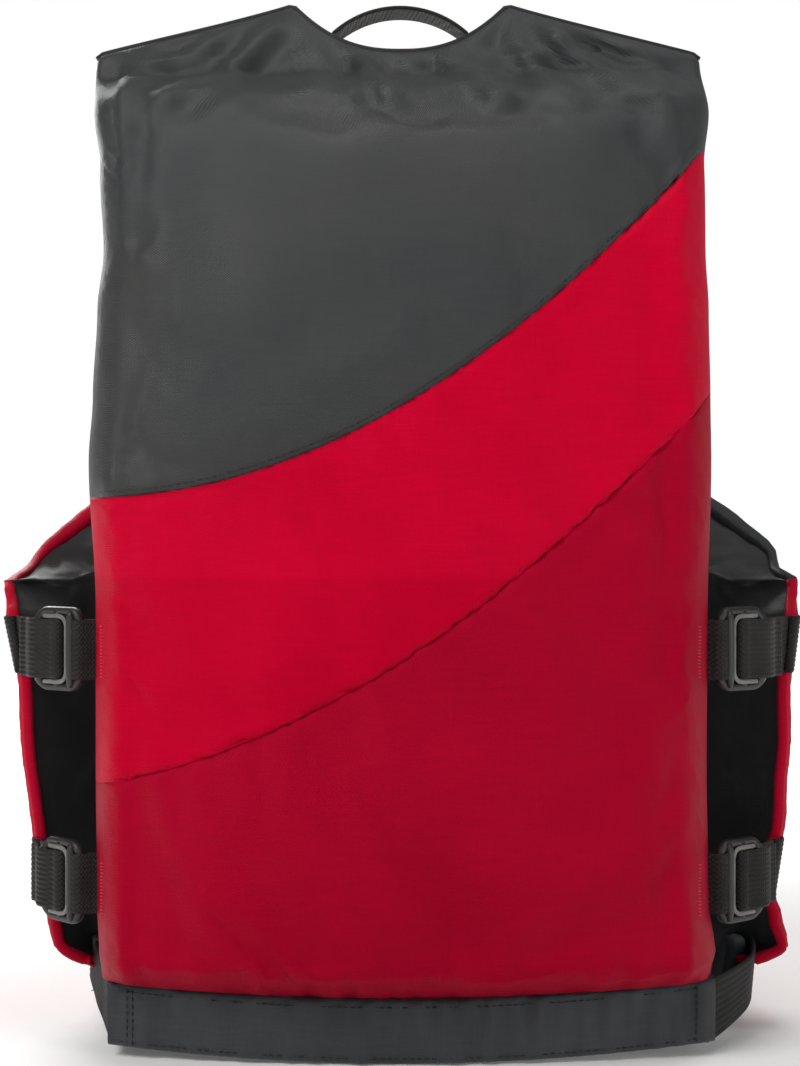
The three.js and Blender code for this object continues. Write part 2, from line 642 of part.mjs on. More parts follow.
function pullTab() {
  const half = PULL.width / 2;
  const low = PULL_Z - PULL.length;
  const shape = roundedRect(SLIDER_X - half, low, SLIDER_X + half, PULL_Z + 1.6, 1.4);
  const plate = solid(
    prism(shape, 0, PULL.thick).rotateX(Math.PI / 2).translate(0, PULL_Y + PULL.thick / 2, 0),
  );
  const slot = block([SLIDER_X - 1.5, PULL_Y - 4, PULL_Z - 4.5], [SLIDER_X + 1.5, PULL_Y + 4, PULL_Z + 4]);
  return geometryOf(plate.subtract(slot).add(pullPin(PULL.pin)));
}

// ---- Belt and buckle, along X across the front ----
const BELT_Y = -(HALF_DEPTH + BELT_STANDOFF);
const MALE_BASE_X = FEMALE_MOUTH_X + BUCKLE.apart + BUCKLE.arm;

// An outline in X and Z about the belt's centre line, given a thickness in Y.
function acrossBelt(shape, thick) {
  return prism(shape, 0, thick).rotateX(Math.PI / 2).translate(0, BELT_Y + thick / 2, BELT_Z);
}

// A bar with a slot on each side of it, which the webbing turns round.
function webbingSlot(x0, x1) {
  const half = WEBBING / 2 + SIDE_PLAY;
  return block([x0, BELT_Y - BUCKLE.thick, BELT_Z - half], [x1, BELT_Y + BUCKLE.thick, BELT_Z + half]);
}

function buckleFemale() {
  const half = BUCKLE.height / 2;
  const back = FEMALE_MOUTH_X - BUCKLE.female;
  const body = solid(acrossBelt(roundedRect(back, -half, FEMALE_MOUTH_X, half, 4), BUCKLE.thick));
  const room = BUCKLE.thick / 2 - BUCKLE.wall;
  const pocketEnd = FEMALE_MOUTH_X - BUCKLE.arm - 4;
  const mouth = half - 2 * BUCKLE.wall;
  const pocket = block([pocketEnd, BELT_Y - room, BELT_Z - mouth], [FEMALE_MOUTH_X + 1, BELT_Y + room, BELT_Z + mouth]);
  const windows = block(
    [pocketEnd, BELT_Y - room, BELT_Z - half - 1],
    [FEMALE_MOUTH_X - 7, BELT_Y + room, BELT_Z + half + 1],
  );
  const slot = webbingSlot(back + BUCKLE.wall, back + BUCKLE.wall + 4.5);
  return geometryOf(body.subtract(pocket).subtract(windows).subtract(slot));
}

function buckleMale() {
  const half = BUCKLE.height / 2;
  const room = BUCKLE.thick / 2 - BUCKLE.wall - GAP;
  const end = MALE_BASE_X + BUCKLE.base;
  const base = solid(acrossBelt(roundedRect(MALE_BASE_X, -half, end, half, 3), BUCKLE.thick - 2));
  const blade = block(
    [MALE_BASE_X - BUCKLE.arm + 3, BELT_Y - room, BELT_Z - 3],
    [MALE_BASE_X + 1, BELT_Y + room, BELT_Z + 3],
  );
  return geometryOf(base.add(blade).subtract(webbingSlot(MALE_BASE_X + 4, end - BUCKLE.wall)));
}

// One sprung arm with the shoulder that catches in the female half's window.
function buckleArm(up) {
  const room = BUCKLE.thick / 2 - BUCKLE.wall - GAP;
  const root = MALE_BASE_X - GAP;
  const tip = MALE_BASE_X - BUCKLE.arm;
  const shape = outline([
    [root, 7.5 * up],
    [root, 11 * up],
    [tip + 12, 12 * up],
    [tip + 11, 15.4 * up],
    [tip + 4, 14 * up],
    [tip, 9 * up],
    [tip + 1, 7 * up],
    [tip + 8, 8 * up],
  ]);
  return acrossBelt(shape, 2 * room);
}

function belt(x0, sewnX) {
  const out = WEBBING_THICK / 2 + 2 * GAP;
  const points = [[x0, BELT_Y]];
  for (const step of [0.35, 0.6, 0.8, 1]) {
    const x = lerp(x0, sewnX, step);
    const angle = angleAtX(x, BELT_Z);
    const skin = frontPoint(angle, BELT_Z, frontThickness(angle, BELT_Z) + out);
    points.push([skin.x, Math.min(skin.y, lerp(BELT_Y, skin.y, step ** 2))]);
  }
  return prism(bandOutline(points, WEBBING_THICK), BELT_Z - WEBBING / 2, WEBBING);
}

// ---- Materials ----
const fabric = (color) => new THREE.MeshStandardMaterial({ color, roughness: 0.85, metalness: 0 });
const plastic = (color) => new THREE.MeshStandardMaterial({ color, roughness: 0.4, metalness: 0 });
const GREY = 0x444443;
const RED = 0xbc0326;
const DARK_RED = 0xa00824;
const BAND_GREY = 0x464b4b;
const BLACK = 0x1c1a1a;
const FOAM_WHITE = 0xd8d6cc;
const WEBBING_BLACK = 0x2a2723;
const PLASTIC_BLACK = 0x23211f;

const vest = new THREE.Group();
const left = new THREE.Group();
const right = new THREE.Group();
right.scale.x = -1;
vest.add(left, right);

function add(parent, name, geometry, material) {
  const mesh = new THREE.Mesh(geometry, material);
  mesh.name = name;
  parent.add(mesh);
}

// ---- Back ----
const clothTop = (x) => backTop(x) - BINDING - GAP;
const bandTop = BAND + GAP;
const upperRows = (x) => [
  ...spread(seamHeight(UPPER_SEAM, x) + GAP / 2, FOAM_TOP, 8),
  FOAM_TOP + EDGE_ROLL,
  clothTop(x),
];
const middleRows = (x) => spread(seamHeight(LOWER_SEAM, x) + GAP / 2, seamHeight(UPPER_SEAM, x) - GAP / 2, 3);
const lowerRows = (x) => [bandTop, ...spread(FOAM_BOTTOM, seamHeight(LOWER_SEAM, x) - GAP / 2, 3)];
const LEAN_START = HEIGHT - LEAN_DROP;
const liningRows = (x) => [bandTop, ...spread(LEAN_START, FOAM_TOP, 3), FOAM_TOP + EDGE_ROLL, clothTop(x)];
const foamRows = () => [FOAM_BOTTOM, (FOAM_BOTTOM + LEAN_START) / 2, ...spread(LEAN_START, FOAM_TOP, 3)];
const bindingRows = (x) => [backTop(x) - BINDING, backTop(x)];
add(vest, "back_upper_panel", backPanel(upperRows), fabric(GREY));
add(vest, "back_middle_panel", backPanel(middleRows), fabric(RED));
add(vest, "back_lower_panel", backPanel(lowerRows), fabric(DARK_RED));
add(vest, "back_foam", backLayer(FOAM_COLUMNS, foamRows, foamInner, backFoamOuter), fabric(FOAM_WHITE));
add(vest, "back_lining", backLayer(BACK_COLUMNS, liningRows, flat, clothDepth), fabric(BLACK));
add(vest, "back_binding", backLayer(BACK_COLUMNS, bindingRows, () => -GAP, () => EDGE + GAP), fabric(BLACK));
add(vest, "back_waistband", backWaistband(), fabric(BAND_GREY));
add(vest, "grab_loop", grabLoop(), fabric(WEBBING_BLACK));

// ---- Shoulders, fronts, straps: the same on both sides ----
const sides = [
  { side: "left", group: left, seam: ARMHOLE_TOP, phase: 0 },
  { side: "right", group: right, seam: ARMHOLE_BOTTOM, phase: 0.5 },
];
const half = SHOULDER_PADDED / 2;
for (const { side, group, seam, phase } of sides) {
  const frontUpperRows = () => [seam, ...levelsBetween(seam + GAP, HEIGHT)];
  const frontLowerRows = (u) => [shellBottom(u), ...levelsBetween(0, seam - GAP), seam - GAP];
  const frontLiningRows = (u) => [shellBottom(u), ...FRONT_LEVELS];
  const foamUpperRows = levelsBetween(ARMHOLE_BOTTOM - 1, FRONT_TOP);
  const foamLowerRows = [...levelsBetween(0, ARMHOLE_BOTTOM), ARMHOLE_BOTTOM - FOAM_FOLD];
  add(group, `shoulder_shell_${side}`, shoulderLayer(half - CLOTH, half, 0), fabric(GREY));
  add(group, `shoulder_pad_${side}`, shoulderLayer(CLOTH + GAP - half, half - CLOTH - GAP, 0.06), fabric(FOAM_WHITE));
  add(group, `shoulder_lining_${side}`, shoulderLayer(-half, CLOTH - half, 0), fabric(BLACK));
  add(group, `front_upper_panel_${side}`, frontPanel(frontUpperRows), fabric(GREY));
  add(group, `front_lower_panel_${side}`, frontPanel(frontLowerRows), fabric(RED));
  add(group, `front_upper_foam_${side}`, frontFoam(foamUpperRows), fabric(FOAM_WHITE));
  add(group, `front_lower_foam_${side}`, frontFoam(foamLowerRows), fabric(FOAM_WHITE));
  add(group, `front_lining_${side}`, frontLayer(0, frontLiningRows, flat, clothDepth), fabric(BLACK));
  add(group, `front_waistband_${side}`, frontWaistband(), fabric(BAND_GREY));
  add(group, `side_binding_${side}`, sideBinding(), fabric(RED));
  add(group, `waist_elastic_${side}`, waistElastic(), fabric(BLACK));
  add(group, `zip_tape_${side}`, zipTape(), fabric(BLACK));
  add(group, `zip_teeth_${side}`, zipTeeth(phase), plastic(PLASTIC_BLACK));
  for (const [level, z] of [["upper", UPPER_STRAP_Z], ["lower", LOWER_STRAP_Z]]) {
    add(group, `strap_loop_${level}_${side}`, strapLoop(z), fabric(WEBBING_BLACK));
    add(group, `adjuster_${level}_${side}`, adjuster(z), plastic(PLASTIC_BLACK));
    add(group, `side_strap_${level}_${side}`, sideStrap(z), fabric(WEBBING_BLACK));
  }
}

// ---- Zip ends, slider and pull ----
add(left, "zip_retaining_box", chainEnd(ZIP_HALF_GAP - 3, ZIP_HALF_GAP + TOOTH_DEPTH, STOP_HEIGHT), plastic(PLASTIC_BLACK));
add(right, "zip_insertion_pin", chainEnd(ZIP_HALF_GAP, ZIP_HALF_GAP + TOOTH_DEPTH, STOP_HEIGHT), plastic(PLASTIC_BLACK));
add(left, "zip_slider", zipSlider(), plastic(PLASTIC_BLACK));
add(left, "zip_pull", pullTab(), plastic(PLASTIC_BLACK));

// ---- Belt and buckle ----
add(vest, "buckle_female", buckleFemale(), plastic(PLASTIC_BLACK));
add(vest, "buckle_male", buckleMale(), plastic(PLASTIC_BLACK));
add(vest, "buckle_arm_upper", buckleArm(1), plastic(PLASTIC_BLACK));
add(vest, "buckle_arm_lower", buckleArm(-1), plastic(PLASTIC_BLACK));
const FEMALE_BAR_X = FEMALE_MOUTH_X - BUCKLE.female;
add(right, "belt_right", belt(-FEMALE_BAR_X + GAP, BELT_SEWN_X), fabric(WEBBING_BLACK));
add(left, "belt_left", belt(MALE_BASE_X + BUCKLE.base + GAP, BELT_SEWN_X), fabric(WEBBING_BLACK));

// The origin is under the middle of the whole vest, buckle included.
vest.position.y = (BELT_STANDOFF + BUCKLE.thick / 2) / 2;

export default vest;
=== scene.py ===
"""Looks of a youth life jacket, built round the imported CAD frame: soft padded panels, webbing, bound
edges and moulded fittings. Sizes named below are in millimetres, and MM turns them into the row frame's
metres. Most repeat those of the frame's source. The neckline, the shoulder line and the two colour seams
follow the photo a few millimetres more closely. The zip faces -Y, the back panel faces +Y."""

import math

import bmesh
import bpy
import numpy as np
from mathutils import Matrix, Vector


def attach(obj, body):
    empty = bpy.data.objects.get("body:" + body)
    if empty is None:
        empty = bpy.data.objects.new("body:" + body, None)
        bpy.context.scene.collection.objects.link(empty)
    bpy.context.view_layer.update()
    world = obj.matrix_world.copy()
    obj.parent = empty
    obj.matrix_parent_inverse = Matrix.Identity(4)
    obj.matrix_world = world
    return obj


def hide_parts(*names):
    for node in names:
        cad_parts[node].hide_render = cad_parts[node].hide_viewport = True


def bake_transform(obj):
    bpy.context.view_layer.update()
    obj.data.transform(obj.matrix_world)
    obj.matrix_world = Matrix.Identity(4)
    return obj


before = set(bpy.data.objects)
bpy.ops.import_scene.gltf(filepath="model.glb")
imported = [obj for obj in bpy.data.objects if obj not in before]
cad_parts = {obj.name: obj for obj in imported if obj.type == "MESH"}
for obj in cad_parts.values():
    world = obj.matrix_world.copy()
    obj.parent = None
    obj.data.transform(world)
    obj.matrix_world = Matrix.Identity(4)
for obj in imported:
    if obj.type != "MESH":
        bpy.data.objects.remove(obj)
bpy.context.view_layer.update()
MM = 0.001

# ---- Sizes of the frame and of the photographed back ----
HEIGHT = 455
BACK_HALF_WIDTH = 130
CHEST_HALF_WIDTH = 177
WAIST_HALF_WIDTH = 161
HALF_DEPTH = 95
PADDED = 24
EDGE = 5
EDGE_ROLL = 16
WING_ROLL = 30
BACK_BOW = 14
LEAN_DROP = 125
TOP_LEAN = 45
NECK_HALF_WIDTH = 47.3
NECK_DROP = 24
SHOULDER_DROP = 22.5
SHOULDER_PADDED = 8
FOAM_TOP = HEIGHT - 52
FRONT_TOP = HEIGHT - 103
NECKLINE_DEPTH = 52
ZIP_TOP = FRONT_TOP - NECKLINE_DEPTH
NECK_FRONT_X = 52
SHOULDER_FRONT_X = 112
ARMHOLE_BOTTOM = 200
ARMHOLE_SLOPE = 0.85
ARMHOLE_TOP = ARMHOLE_BOTTOM + (CHEST_HALF_WIDTH - PADDED - SHOULDER_FRONT_X) / ARMHOLE_SLOPE
SIDE_WRAP = math.radians(7)
FRONT_LEAN = 12
OVAL_POWER = 0.8
HEM_RISE = 14
BAND = 28
BAND_TOP = BAND + 0.3
SHELL_EDGE_X = 12
CHAIN_Y = -73.5
WEBBING = 25.4
WEBBING_THICK = 1.4
STRAP_LEVELS = {"upper": 172, "lower": 73}
BAR_R = 2
BAR_PITCH = 12.5
ADJUSTER_LENGTH = 31
ADJUSTER_HALF_WIDTH = 18
STRAP_SEWN = 26
LOOP_WIDTH = 20
LOOP_HALF_SPAN = 30
LOOP_RISE = 12
BELT_Z = 100
BELT_STANDOFF = 8
BELT_SEWN_X = 74
BUCKLE_THICK = 11
SHIFT_Y = (BELT_STANDOFF + BUCKLE_THICK / 2) / 2  # the row frame's origin is under the whole vest's middle
BACK_INNER_Y = HALF_DEPTH - PADDED
UPPER_SEAM = (273, 75, 38)
LOWER_SEAM = (169, 83, 30)
SIDES = {"left": 1, "right": -1}

# ---- Small helpers ----


def clamp01(t):
    return np.clip(t, 0, 1)


def ramp(distance, width):
    t = clamp01(distance / width)
    return t * (2 - t)


def smooth(t):
    t = clamp01(t)
    return t * t * (3 - 2 * t)


def lip(distance, width=3.5):
    """How far a sewn layer has opened at a distance from its edge: 0 where the layers meet, then 1."""
    return np.sqrt(1 - (1 - clamp01(distance / width)) ** 2)


def lerp(a, b, t):
    return a + (b - a) * t


def eased(at, places, values):
    """Values at rising places, joined by smooth steps."""
    places, values = np.array(places, float), np.array(values, float)
    i = np.clip(np.searchsorted(places, at) - 1, 0, len(places) - 2)
    return lerp(values[i], values[i + 1], smooth((at - places[i]) / (places[i + 1] - places[i])))


def to_frame(points):
    """Points in the source's millimetres, as points of the row frame in metres."""
    p = np.array(points, float)
    p[..., 1] += SHIFT_Y
    return p * MM


def unit(v):
    return v / np.maximum(np.linalg.norm(v, axis=-1, keepdims=True), 1e-12)


def edge_spread(length, fine=(0, 0.5, 1.2, 2.2, 3.6, 5.6, 8.2, 11.4), pitch=4.4):
    """Places from 0 to length, close together at both ends."""
    fine = np.array(fine)
    inner = np.linspace(fine[-1], length - fine[-1], max(2, round((length - 2 * fine[-1]) / pitch) + 1))
    return np.concatenate([fine[:-1], inner, (length - fine[:-1])[::-1]])


class Waves:
    """Smooth seeded noise: a sum of plane waves, for folds and small unevenness."""

    def __init__(self, seed, shortest, longest, count=14, stretch=(1, 1)):
        rng = np.random.default_rng(seed)
        length = rng.uniform(shortest, longest, count)
        angle = rng.uniform(0, 2 * math.pi, count)
        self.kx = 2 * math.pi / length * np.cos(angle) / stretch[0]
        self.kz = 2 * math.pi / length * np.sin(angle) / stretch[1]
        self.phase = rng.uniform(0, 2 * math.pi, count)
        self.scale = 1 / math.sqrt(count / 2)

    def __call__(self, x, z):
        total = sum(np.sin(kx * x + kz * z + p) for kx, kz, p in zip(self.kx, self.kz, self.phase))
        return total * self.scale


# ---- Meshes ----


def grid_faces(nu, nv, start=0):
    i, j = np.meshgrid(np.arange(nu - 1), np.arange(nv - 1), indexing="ij")
    a = start + i * nv + j
    return np.stack([a, a + nv, a + nv + 1, a + 1], -1).reshape(-1, 4).tolist()


def make_object(name, points, faces, material):
    """An object from points in the row frame, in metres, with its faces turned outwards."""
    mesh = bpy.data.meshes.new(name)
    mesh.from_pydata(np.asarray(points).reshape(-1, 3).tolist(), [], faces)
    bm = bmesh.new()
    bm.from_mesh(mesh)
    bmesh.ops.recalc_face_normals(bm, faces=bm.faces)
    bm.to_mesh(mesh)
    bm.free()
    mesh.polygons.foreach_set("use_smooth", [True] * len(mesh.polygons))
    mesh.materials.append(material)
    obj = bpy.data.objects.new(name, mesh)
    bpy.context.scene.collection.objects.link(obj)
    return obj


def closed_sheet(name, outer, inner, material):
    """A closed thin piece between two grids of points."""
    nu, nv = outer.shape[:2]
    faces = grid_faces(nu, nv) + [f[::-1] for f in grid_faces(nu, nv, nu * nv)]
    rim = [(i, 0) for i in range(nu)] + [(nu - 1, j) for j in range(1, nv)]
    rim += [(i, nv - 1) for i in range(nu - 2, -1, -1)] + [(0, j) for j in range(nv - 2, 0, -1)]
    index = [i * nv + j for i, j in rim]
    other = nu * nv
    for a, b in zip(index, index[1:] + index[:1]):
        faces.append([a, a + other, b + other, b])
    return make_object(name, np.concatenate([outer.reshape(-1, 3), inner.reshape(-1, 3)]), faces, material)


def sweep(name, section, centres, sides, normals, material, closed=False):
    """A section of (side, normal) pairs carried along a path; its two ends are closed with faces."""
    section, centres = np.array(section, float), np.array(centres, float)
    if section.ndim == 2:
        section = np.broadcast_to(section, (len(centres),) + section.shape)
    rings = (
        centres[:, None]
        + section[..., :1] * np.array(sides, float)[:, None]
        + section[..., 1:] * np.array(normals, float)[:, None]
    )
    n, m = rings.shape[:2]
    faces = []
    for i in range(n if closed else n - 1):
        for j in range(m):
            a, b = i * m + j, i * m + (j + 1) % m
            c, d = (i + 1) % n * m + j, (i + 1) % n * m + (j + 1) % m
            faces.append([a, b, d, c])
    if not closed:
        faces += [list(range(m))[::-1], list(range((n - 1) * m, n * m))]
    return make_object(name, to_frame(rings), faces, material)


def path_frame(path, side, closed=False):
    """Unit sides and normals along a path, for a side direction that stays nearly square to it."""
    path = np.array(path, float)
    if closed:
        tangent = unit(np.roll(path, -1, 0) - np.roll(path, 1, 0))
    else:
        tangent = unit(np.gradient(path, axis=0))
    side = np.broadcast_to(np.array(side, float), path.shape)
    side = unit(side - tangent * np.sum(side * tangent, -1, keepdims=True))
    return side, np.cross(tangent, side)


def ellipse(a, b, steps=16, power=2):
    """A closed section: an ellipse, or with a larger power a rounded rectangle."""
    t = np.linspace(0, 2 * math.pi, steps, endpoint=False)
    c, s = np.cos(t), np.sin(t)
    x, y = (r * np.sign(k) * np.abs(k) ** (2 / power) for r, k in ((a, c), (b, s)))
    return np.stack([x, y], -1)


def webbing_section(width, thick, ribs, depth=0.16):
    """The section of a ribbed band: ribs across its width on both faces, and rounded edges."""
    across = np.linspace(-0.5, 0.5, ribs * 6 + 1)
    swell = np.minimum(1, 12 * (0.5 - np.abs(across)) + 0.45)
    face = (thick / 2 - depth + depth * np.abs(np.sin(math.pi * (across + 0.5) * ribs))) * swell
    top = np.stack([across * width, face], -1)
    return np.concatenate([top, np.stack([across[::-1] * width, -face[::-1]], -1)])


def rounded(path, passes=2):
    """The path with its corners cut, its two ends kept."""
    path = np.array(path, float)
    for _ in range(passes):
        a, b = path[:-1], path[1:]
        cut = np.stack([lerp(a, b, 0.25), lerp(a, b, 0.75)], 1).reshape(-1, path.shape[1])
        path = np.concatenate([path[:1], cut[1:-1], path[-1:]])
    return path


def evenly(path, pitch):
    """Points along the path, each pitch from the last."""
    path = np.array(path, float)
    run = np.concatenate([[0], np.cumsum(np.linalg.norm(np.diff(path[:, :3], axis=0), axis=1))])
    steps = max(2, int(round(run[-1] / pitch)) + 1)
    at = np.linspace(0, run[-1], steps)
    return np.stack([np.interp(at, run, path[:, k]) for k in range(path.shape[1])], -1)


def stitch_row(name, path, normal, material, pitch=3.1, length=2.2, radius=0.24, lift=0.12, turned=False):
    """A line of sewing: rounded thread stitches one after another along a path, or across it if turned."""
    normal = unit(np.broadcast_to(np.array(normal, float), np.shape(path)))
    path, normal = np.split(evenly(np.concatenate([path, normal], 1), pitch), 2, axis=1)
    tangent = unit(np.gradient(path, axis=0))
    across = np.cross(tangent, normal)
    if turned:
        tangent, across = across, tangent
    ring = np.linspace(0, 2 * math.pi, 6, endpoint=False)
    points, faces = [], []
    for p, t, n, c in zip(path, tangent, normal, across):
        start = len(points) * 6
        for along, r in ((-0.5, 0.45), (-0.32, 1), (0.32, 1), (0.5, 0.45)):
            sink = radius * 0.9 * (1 - r)
            centre = p + t * along * length + n * (lift - sink)
            points.append(centre + radius * r * (np.cos(ring)[:, None] * c + np.sin(ring)[:, None] * n))
        for k in range(3):
            for q in range(6):
                a, b = start + k * 6 + q, start + k * 6 + (q + 1) % 6
                faces.append([a, b, b + 6, a + 6])
        faces += [[start + q for q in range(5, -1, -1)], [start + 18 + q for q in range(6)]]
    return make_object(name, to_frame(np.concatenate(points)), faces, material)


# ---- Materials ----


def srgb(r, g, b):
    """An sRGB colour, given as 0 to 255, as the linear one that the shaders take."""
    linear = []
    for c in (r / 255, g / 255, b / 255):
        linear.append(c / 12.92 if c <= 0.04045 else ((c + 0.055) / 1.055) ** 2.4)
    return (*linear, 1)


class Shader:
    """Builds one material's nodes with short calls."""

    def __init__(self, name):
        self.material = bpy.data.materials.new(name)
        self.material.use_nodes = True
        self.nodes = self.material.node_tree.nodes
        self.links = self.material.node_tree.links
        self.principled = self.nodes["Principled BSDF"]
        self.coordinates = self.nodes.new("ShaderNodeTexCoord").outputs["Object"]

    def feed(self, socket, value):
        if isinstance(value, bpy.types.NodeSocket):
            self.links.new(value, socket)
        else:
            socket.default_value = value

    def maths(self, operation, *values):
        node = self.nodes.new("ShaderNodeMath")
        node.operation = operation
        for socket, value in zip(node.inputs, values):
            self.feed(socket, value)
        return node.outputs[0]

    def scaled(self, scale, rotation=(0, 0, 0)):
        node = self.nodes.new("ShaderNodeMapping")
        node.inputs["Scale"].default_value = scale
        node.inputs["Rotation"].default_value = rotation
        self.links.new(self.coordinates, node.inputs["Vector"])
        return node.outputs[0]

    def noise(self, scale, stretch=(1, 1, 1), detail=3, roughness=0.5):
        node = self.nodes.new("ShaderNodeTexNoise")
        node.inputs["Scale"].default_value = scale
        node.inputs["Detail"].default_value = detail
        node.inputs["Roughness"].default_value = roughness
        self.links.new(self.scaled(stretch), node.inputs["Vector"])
        return node.outputs["Fac"]

    def axes(self):
        node = self.nodes.new("ShaderNodeSeparateXYZ")
        self.links.new(self.coordinates, node.inputs[0])
        return node.outputs

    def spread(self, value, low, high, to_low, to_high):
        node = self.nodes.new("ShaderNodeMapRange")
        keys = ("Value", "From Min", "From Max", "To Min", "To Max")
        for key, v in zip(keys, (value, low, high, to_low, to_high)):
            self.feed(node.inputs[key], v)
        return node.outputs[0]

    def mix(self, factor, a, b):
        node = self.nodes.new("ShaderNodeMix")
        node.data_type = "RGBA"
        self.feed(node.inputs["Factor"], factor)
        self.feed(node.inputs["A"], a)
        self.feed(node.inputs["B"], b)
        return node.outputs["Result"]

    def bump(self, height, strength, distance, normal=None):
        node = self.nodes.new("ShaderNodeBump")
        node.inputs["Strength"].default_value = strength
        node.inputs["Distance"].default_value = distance
        self.links.new(height, node.inputs["Height"])
        if normal is not None:
            self.links.new(normal, node.inputs["Normal"])
        return node.outputs[0]

    def set(self, **values):
        for key, value in values.items():
            self.feed(self.principled.inputs[key.replace("_", " ")], value)
        return self.material


def plain_weave(shader, pitch):
    """Height of a plain weave, warp along Z and weft round the body."""
    x, y, z = shader.axes()
    turn = 2 * math.pi / (pitch * MM)
    weft = shader.maths("SINE", shader.maths("MULTIPLY", z, turn))
    warp = shader.maths("SINE", shader.maths("MULTIPLY", shader.maths("ADD", x, y), turn))
    return shader.maths("MULTIPLY", weft, warp)


WHITE = (1, 1, 1, 1)


def nylon(name, colour, shade, roughness=0.5, sheen=0.05, pitch=1.0, weave=0.35, band=None, tint=WHITE):
    """Coated nylon cloth: a fine plain weave with slubs, soft sheen and slightly uneven dye.

    band is a height and a tone: the cloth is deeper by that tone below the height."""
    s = Shader(name)
    cloud = s.noise(16, detail=4)
    slub = s.noise(1, (60, 60, 1500), detail=2)
    warp = s.noise(1, (1300, 1300, 50), detail=2)
    weave_height = plain_weave(s, pitch)
    tone = s.maths("ADD", s.spread(cloud, 0.3, 0.7, 0.0, 0.55), s.spread(slub, 0.3, 0.7, 0.0, 0.28))
    tone = s.maths("ADD", tone, s.spread(warp, 0.3, 0.7, 0.0, 0.17))
    tone = s.maths("ADD", tone, s.maths("MULTIPLY", weave_height, 0.14))
    if band is not None:
        level, amount = band
        deeper = s.spread(s.axes()[2], (level - 1.5) * MM, (level + 1.5) * MM, amount, 0.0)
        tone = s.maths("ADD", tone, deeper)
    height = s.maths("ADD", weave_height, s.maths("MULTIPLY", s.maths("ADD", slub, warp), 1.6))
    fine = s.bump(height, weave, 0.0002)
    crumple = s.bump(s.noise(110, detail=4, roughness=0.6), 0.16, 0.0011, fine)
    return s.set(
        Base_Color=s.mix(tone, colour, shade),
        Roughness=s.spread(cloud, 0.3, 0.7, roughness - 0.05, roughness + 0.07),
        Normal=crumple,
        Sheen_Weight=sheen,
        Sheen_Roughness=0.4,
        Sheen_Tint=tint,
        Specular_IOR_Level=0.3 if tint == WHITE else 0.16,
        Specular_Tint=tint,
    )


def webbing_material(name, colour, shade, pitch=1.9, roughness=0.62):
    """Woven polyester: diagonal yarns that turn at each rib, and a little fuzz."""
    s = Shader(name)
    x, y, z = s.axes()
    turn = 2 * math.pi / (pitch * MM)
    slope = s.maths("ADD", s.maths("ADD", x, y), s.maths("MULTIPLY", z, 0.9))
    rise = s.maths("SUBTRACT", s.maths("ADD", x, y), s.maths("MULTIPLY", z, 0.9))
    yarns = [s.maths("SINE", s.maths("MULTIPLY", along, turn)) for along in (slope, rise)]
    yarn = s.maths("ADD", *yarns)
    fuzz = s.noise(900, detail=2)
    worn = s.noise(45, detail=3)
    height = s.maths("ADD", s.maths("MULTIPLY", yarn, 0.5), fuzz)
    tone = s.maths("ADD", s.spread(yarn, -2, 2, 0.0, 0.5), s.spread(worn, 0.35, 0.7, 0.0, 0.5))
    return s.set(
        Base_Color=s.mix(tone, colour, shade),
        Roughness=s.spread(worn, 0.3, 0.7, roughness - 0.06, roughness + 0.08),
        Normal=s.bump(height, 0.5, 0.00035),
        Sheen_Weight=0.06,
        Sheen_Roughness=0.45,
        Specular_IOR_Level=0.22,
    )


def moulded_plastic(name, colour, shade):
    """Acetal mouldings: fine spark-eroded texture, with scuffs that dull it in places."""
    s = Shader(name)
    grain = s.noise(2600, detail=2)
    scuffs = s.noise(60, (1, 1, 4), detail=5, roughness=0.65)
    return s.set(
        Base_Color=s.mix(s.spread(scuffs, 0.45, 0.75, 0.0, 1.0), colour, shade),
        Roughness=s.spread(scuffs, 0.35, 0.7, 0.34, 0.5),
        Normal=s.bump(s.maths("ADD", grain, s.maths("MULTIPLY", scuffs, 0.8)), 0.22, 0.0002),
        Specular_IOR_Level=0.5,
    )


def foam_material():
    s = Shader("closed_cell_foam")
    cells = s.nodes.new("ShaderNodeTexVoronoi")
    cells.inputs["Scale"].default_value = 1100
    s.links.new(s.coordinates, cells.inputs["Vector"])
    cloud = s.noise(30)
    return s.set(
        Base_Color=s.mix(s.spread(cloud, 0.3, 0.7, 0.0, 1.0), srgb(226, 224, 214), srgb(206, 202, 190)),
        Roughness=s.spread(cloud, 0.3, 0.7, 0.7, 0.85),
        Normal=s.bump(cells.outputs["Distance"], 0.4, 0.0004),
    )


RED_GLOSS = (1, 0.05, 0.12, 1)  # the dye also tints the cloth's sheen
GREY = nylon("grey_nylon", srgb(50, 50, 49), srgb(38, 40, 42), roughness=0.44)
RED = nylon("red_nylon", srgb(192, 4, 44), srgb(170, 1, 35), band=(203, 0.35), tint=RED_GLOSS)
DARK_RED = nylon("dark_red_nylon", srgb(160, 6, 38), srgb(140, 4, 32), tint=RED_GLOSS)
BINDING_RED = nylon("red_edge_nylon", srgb(186, 16, 46), srgb(152, 8, 36),
                    sheen=0.08, pitch=0.9, tint=RED_GLOSS)
BAND_GREY = nylon("band_nylon", srgb(58, 63, 66), srgb(38, 42, 45), roughness=0.44, sheen=0.08)
LINING = nylon("black_lining", srgb(34, 31, 31), srgb(16, 15, 16),
               roughness=0.4, sheen=0.4, pitch=0.8, weave=0.25)
BLACK_BINDING = nylon("black_binding", srgb(30, 29, 29), srgb(18, 17, 17), roughness=0.6, pitch=0.9)
TAPE = nylon("zip_tape_weave", srgb(32, 31, 31), srgb(20, 19, 19), roughness=0.65, pitch=1.2, weave=0.5)
WEBBING_BLACK = webbing_material("black_webbing", srgb(36, 32, 30), srgb(14, 12, 11))
ELASTIC_BLACK = webbing_material("black_elastic", srgb(24, 22, 21), srgb(11, 10, 9), pitch=1.2)
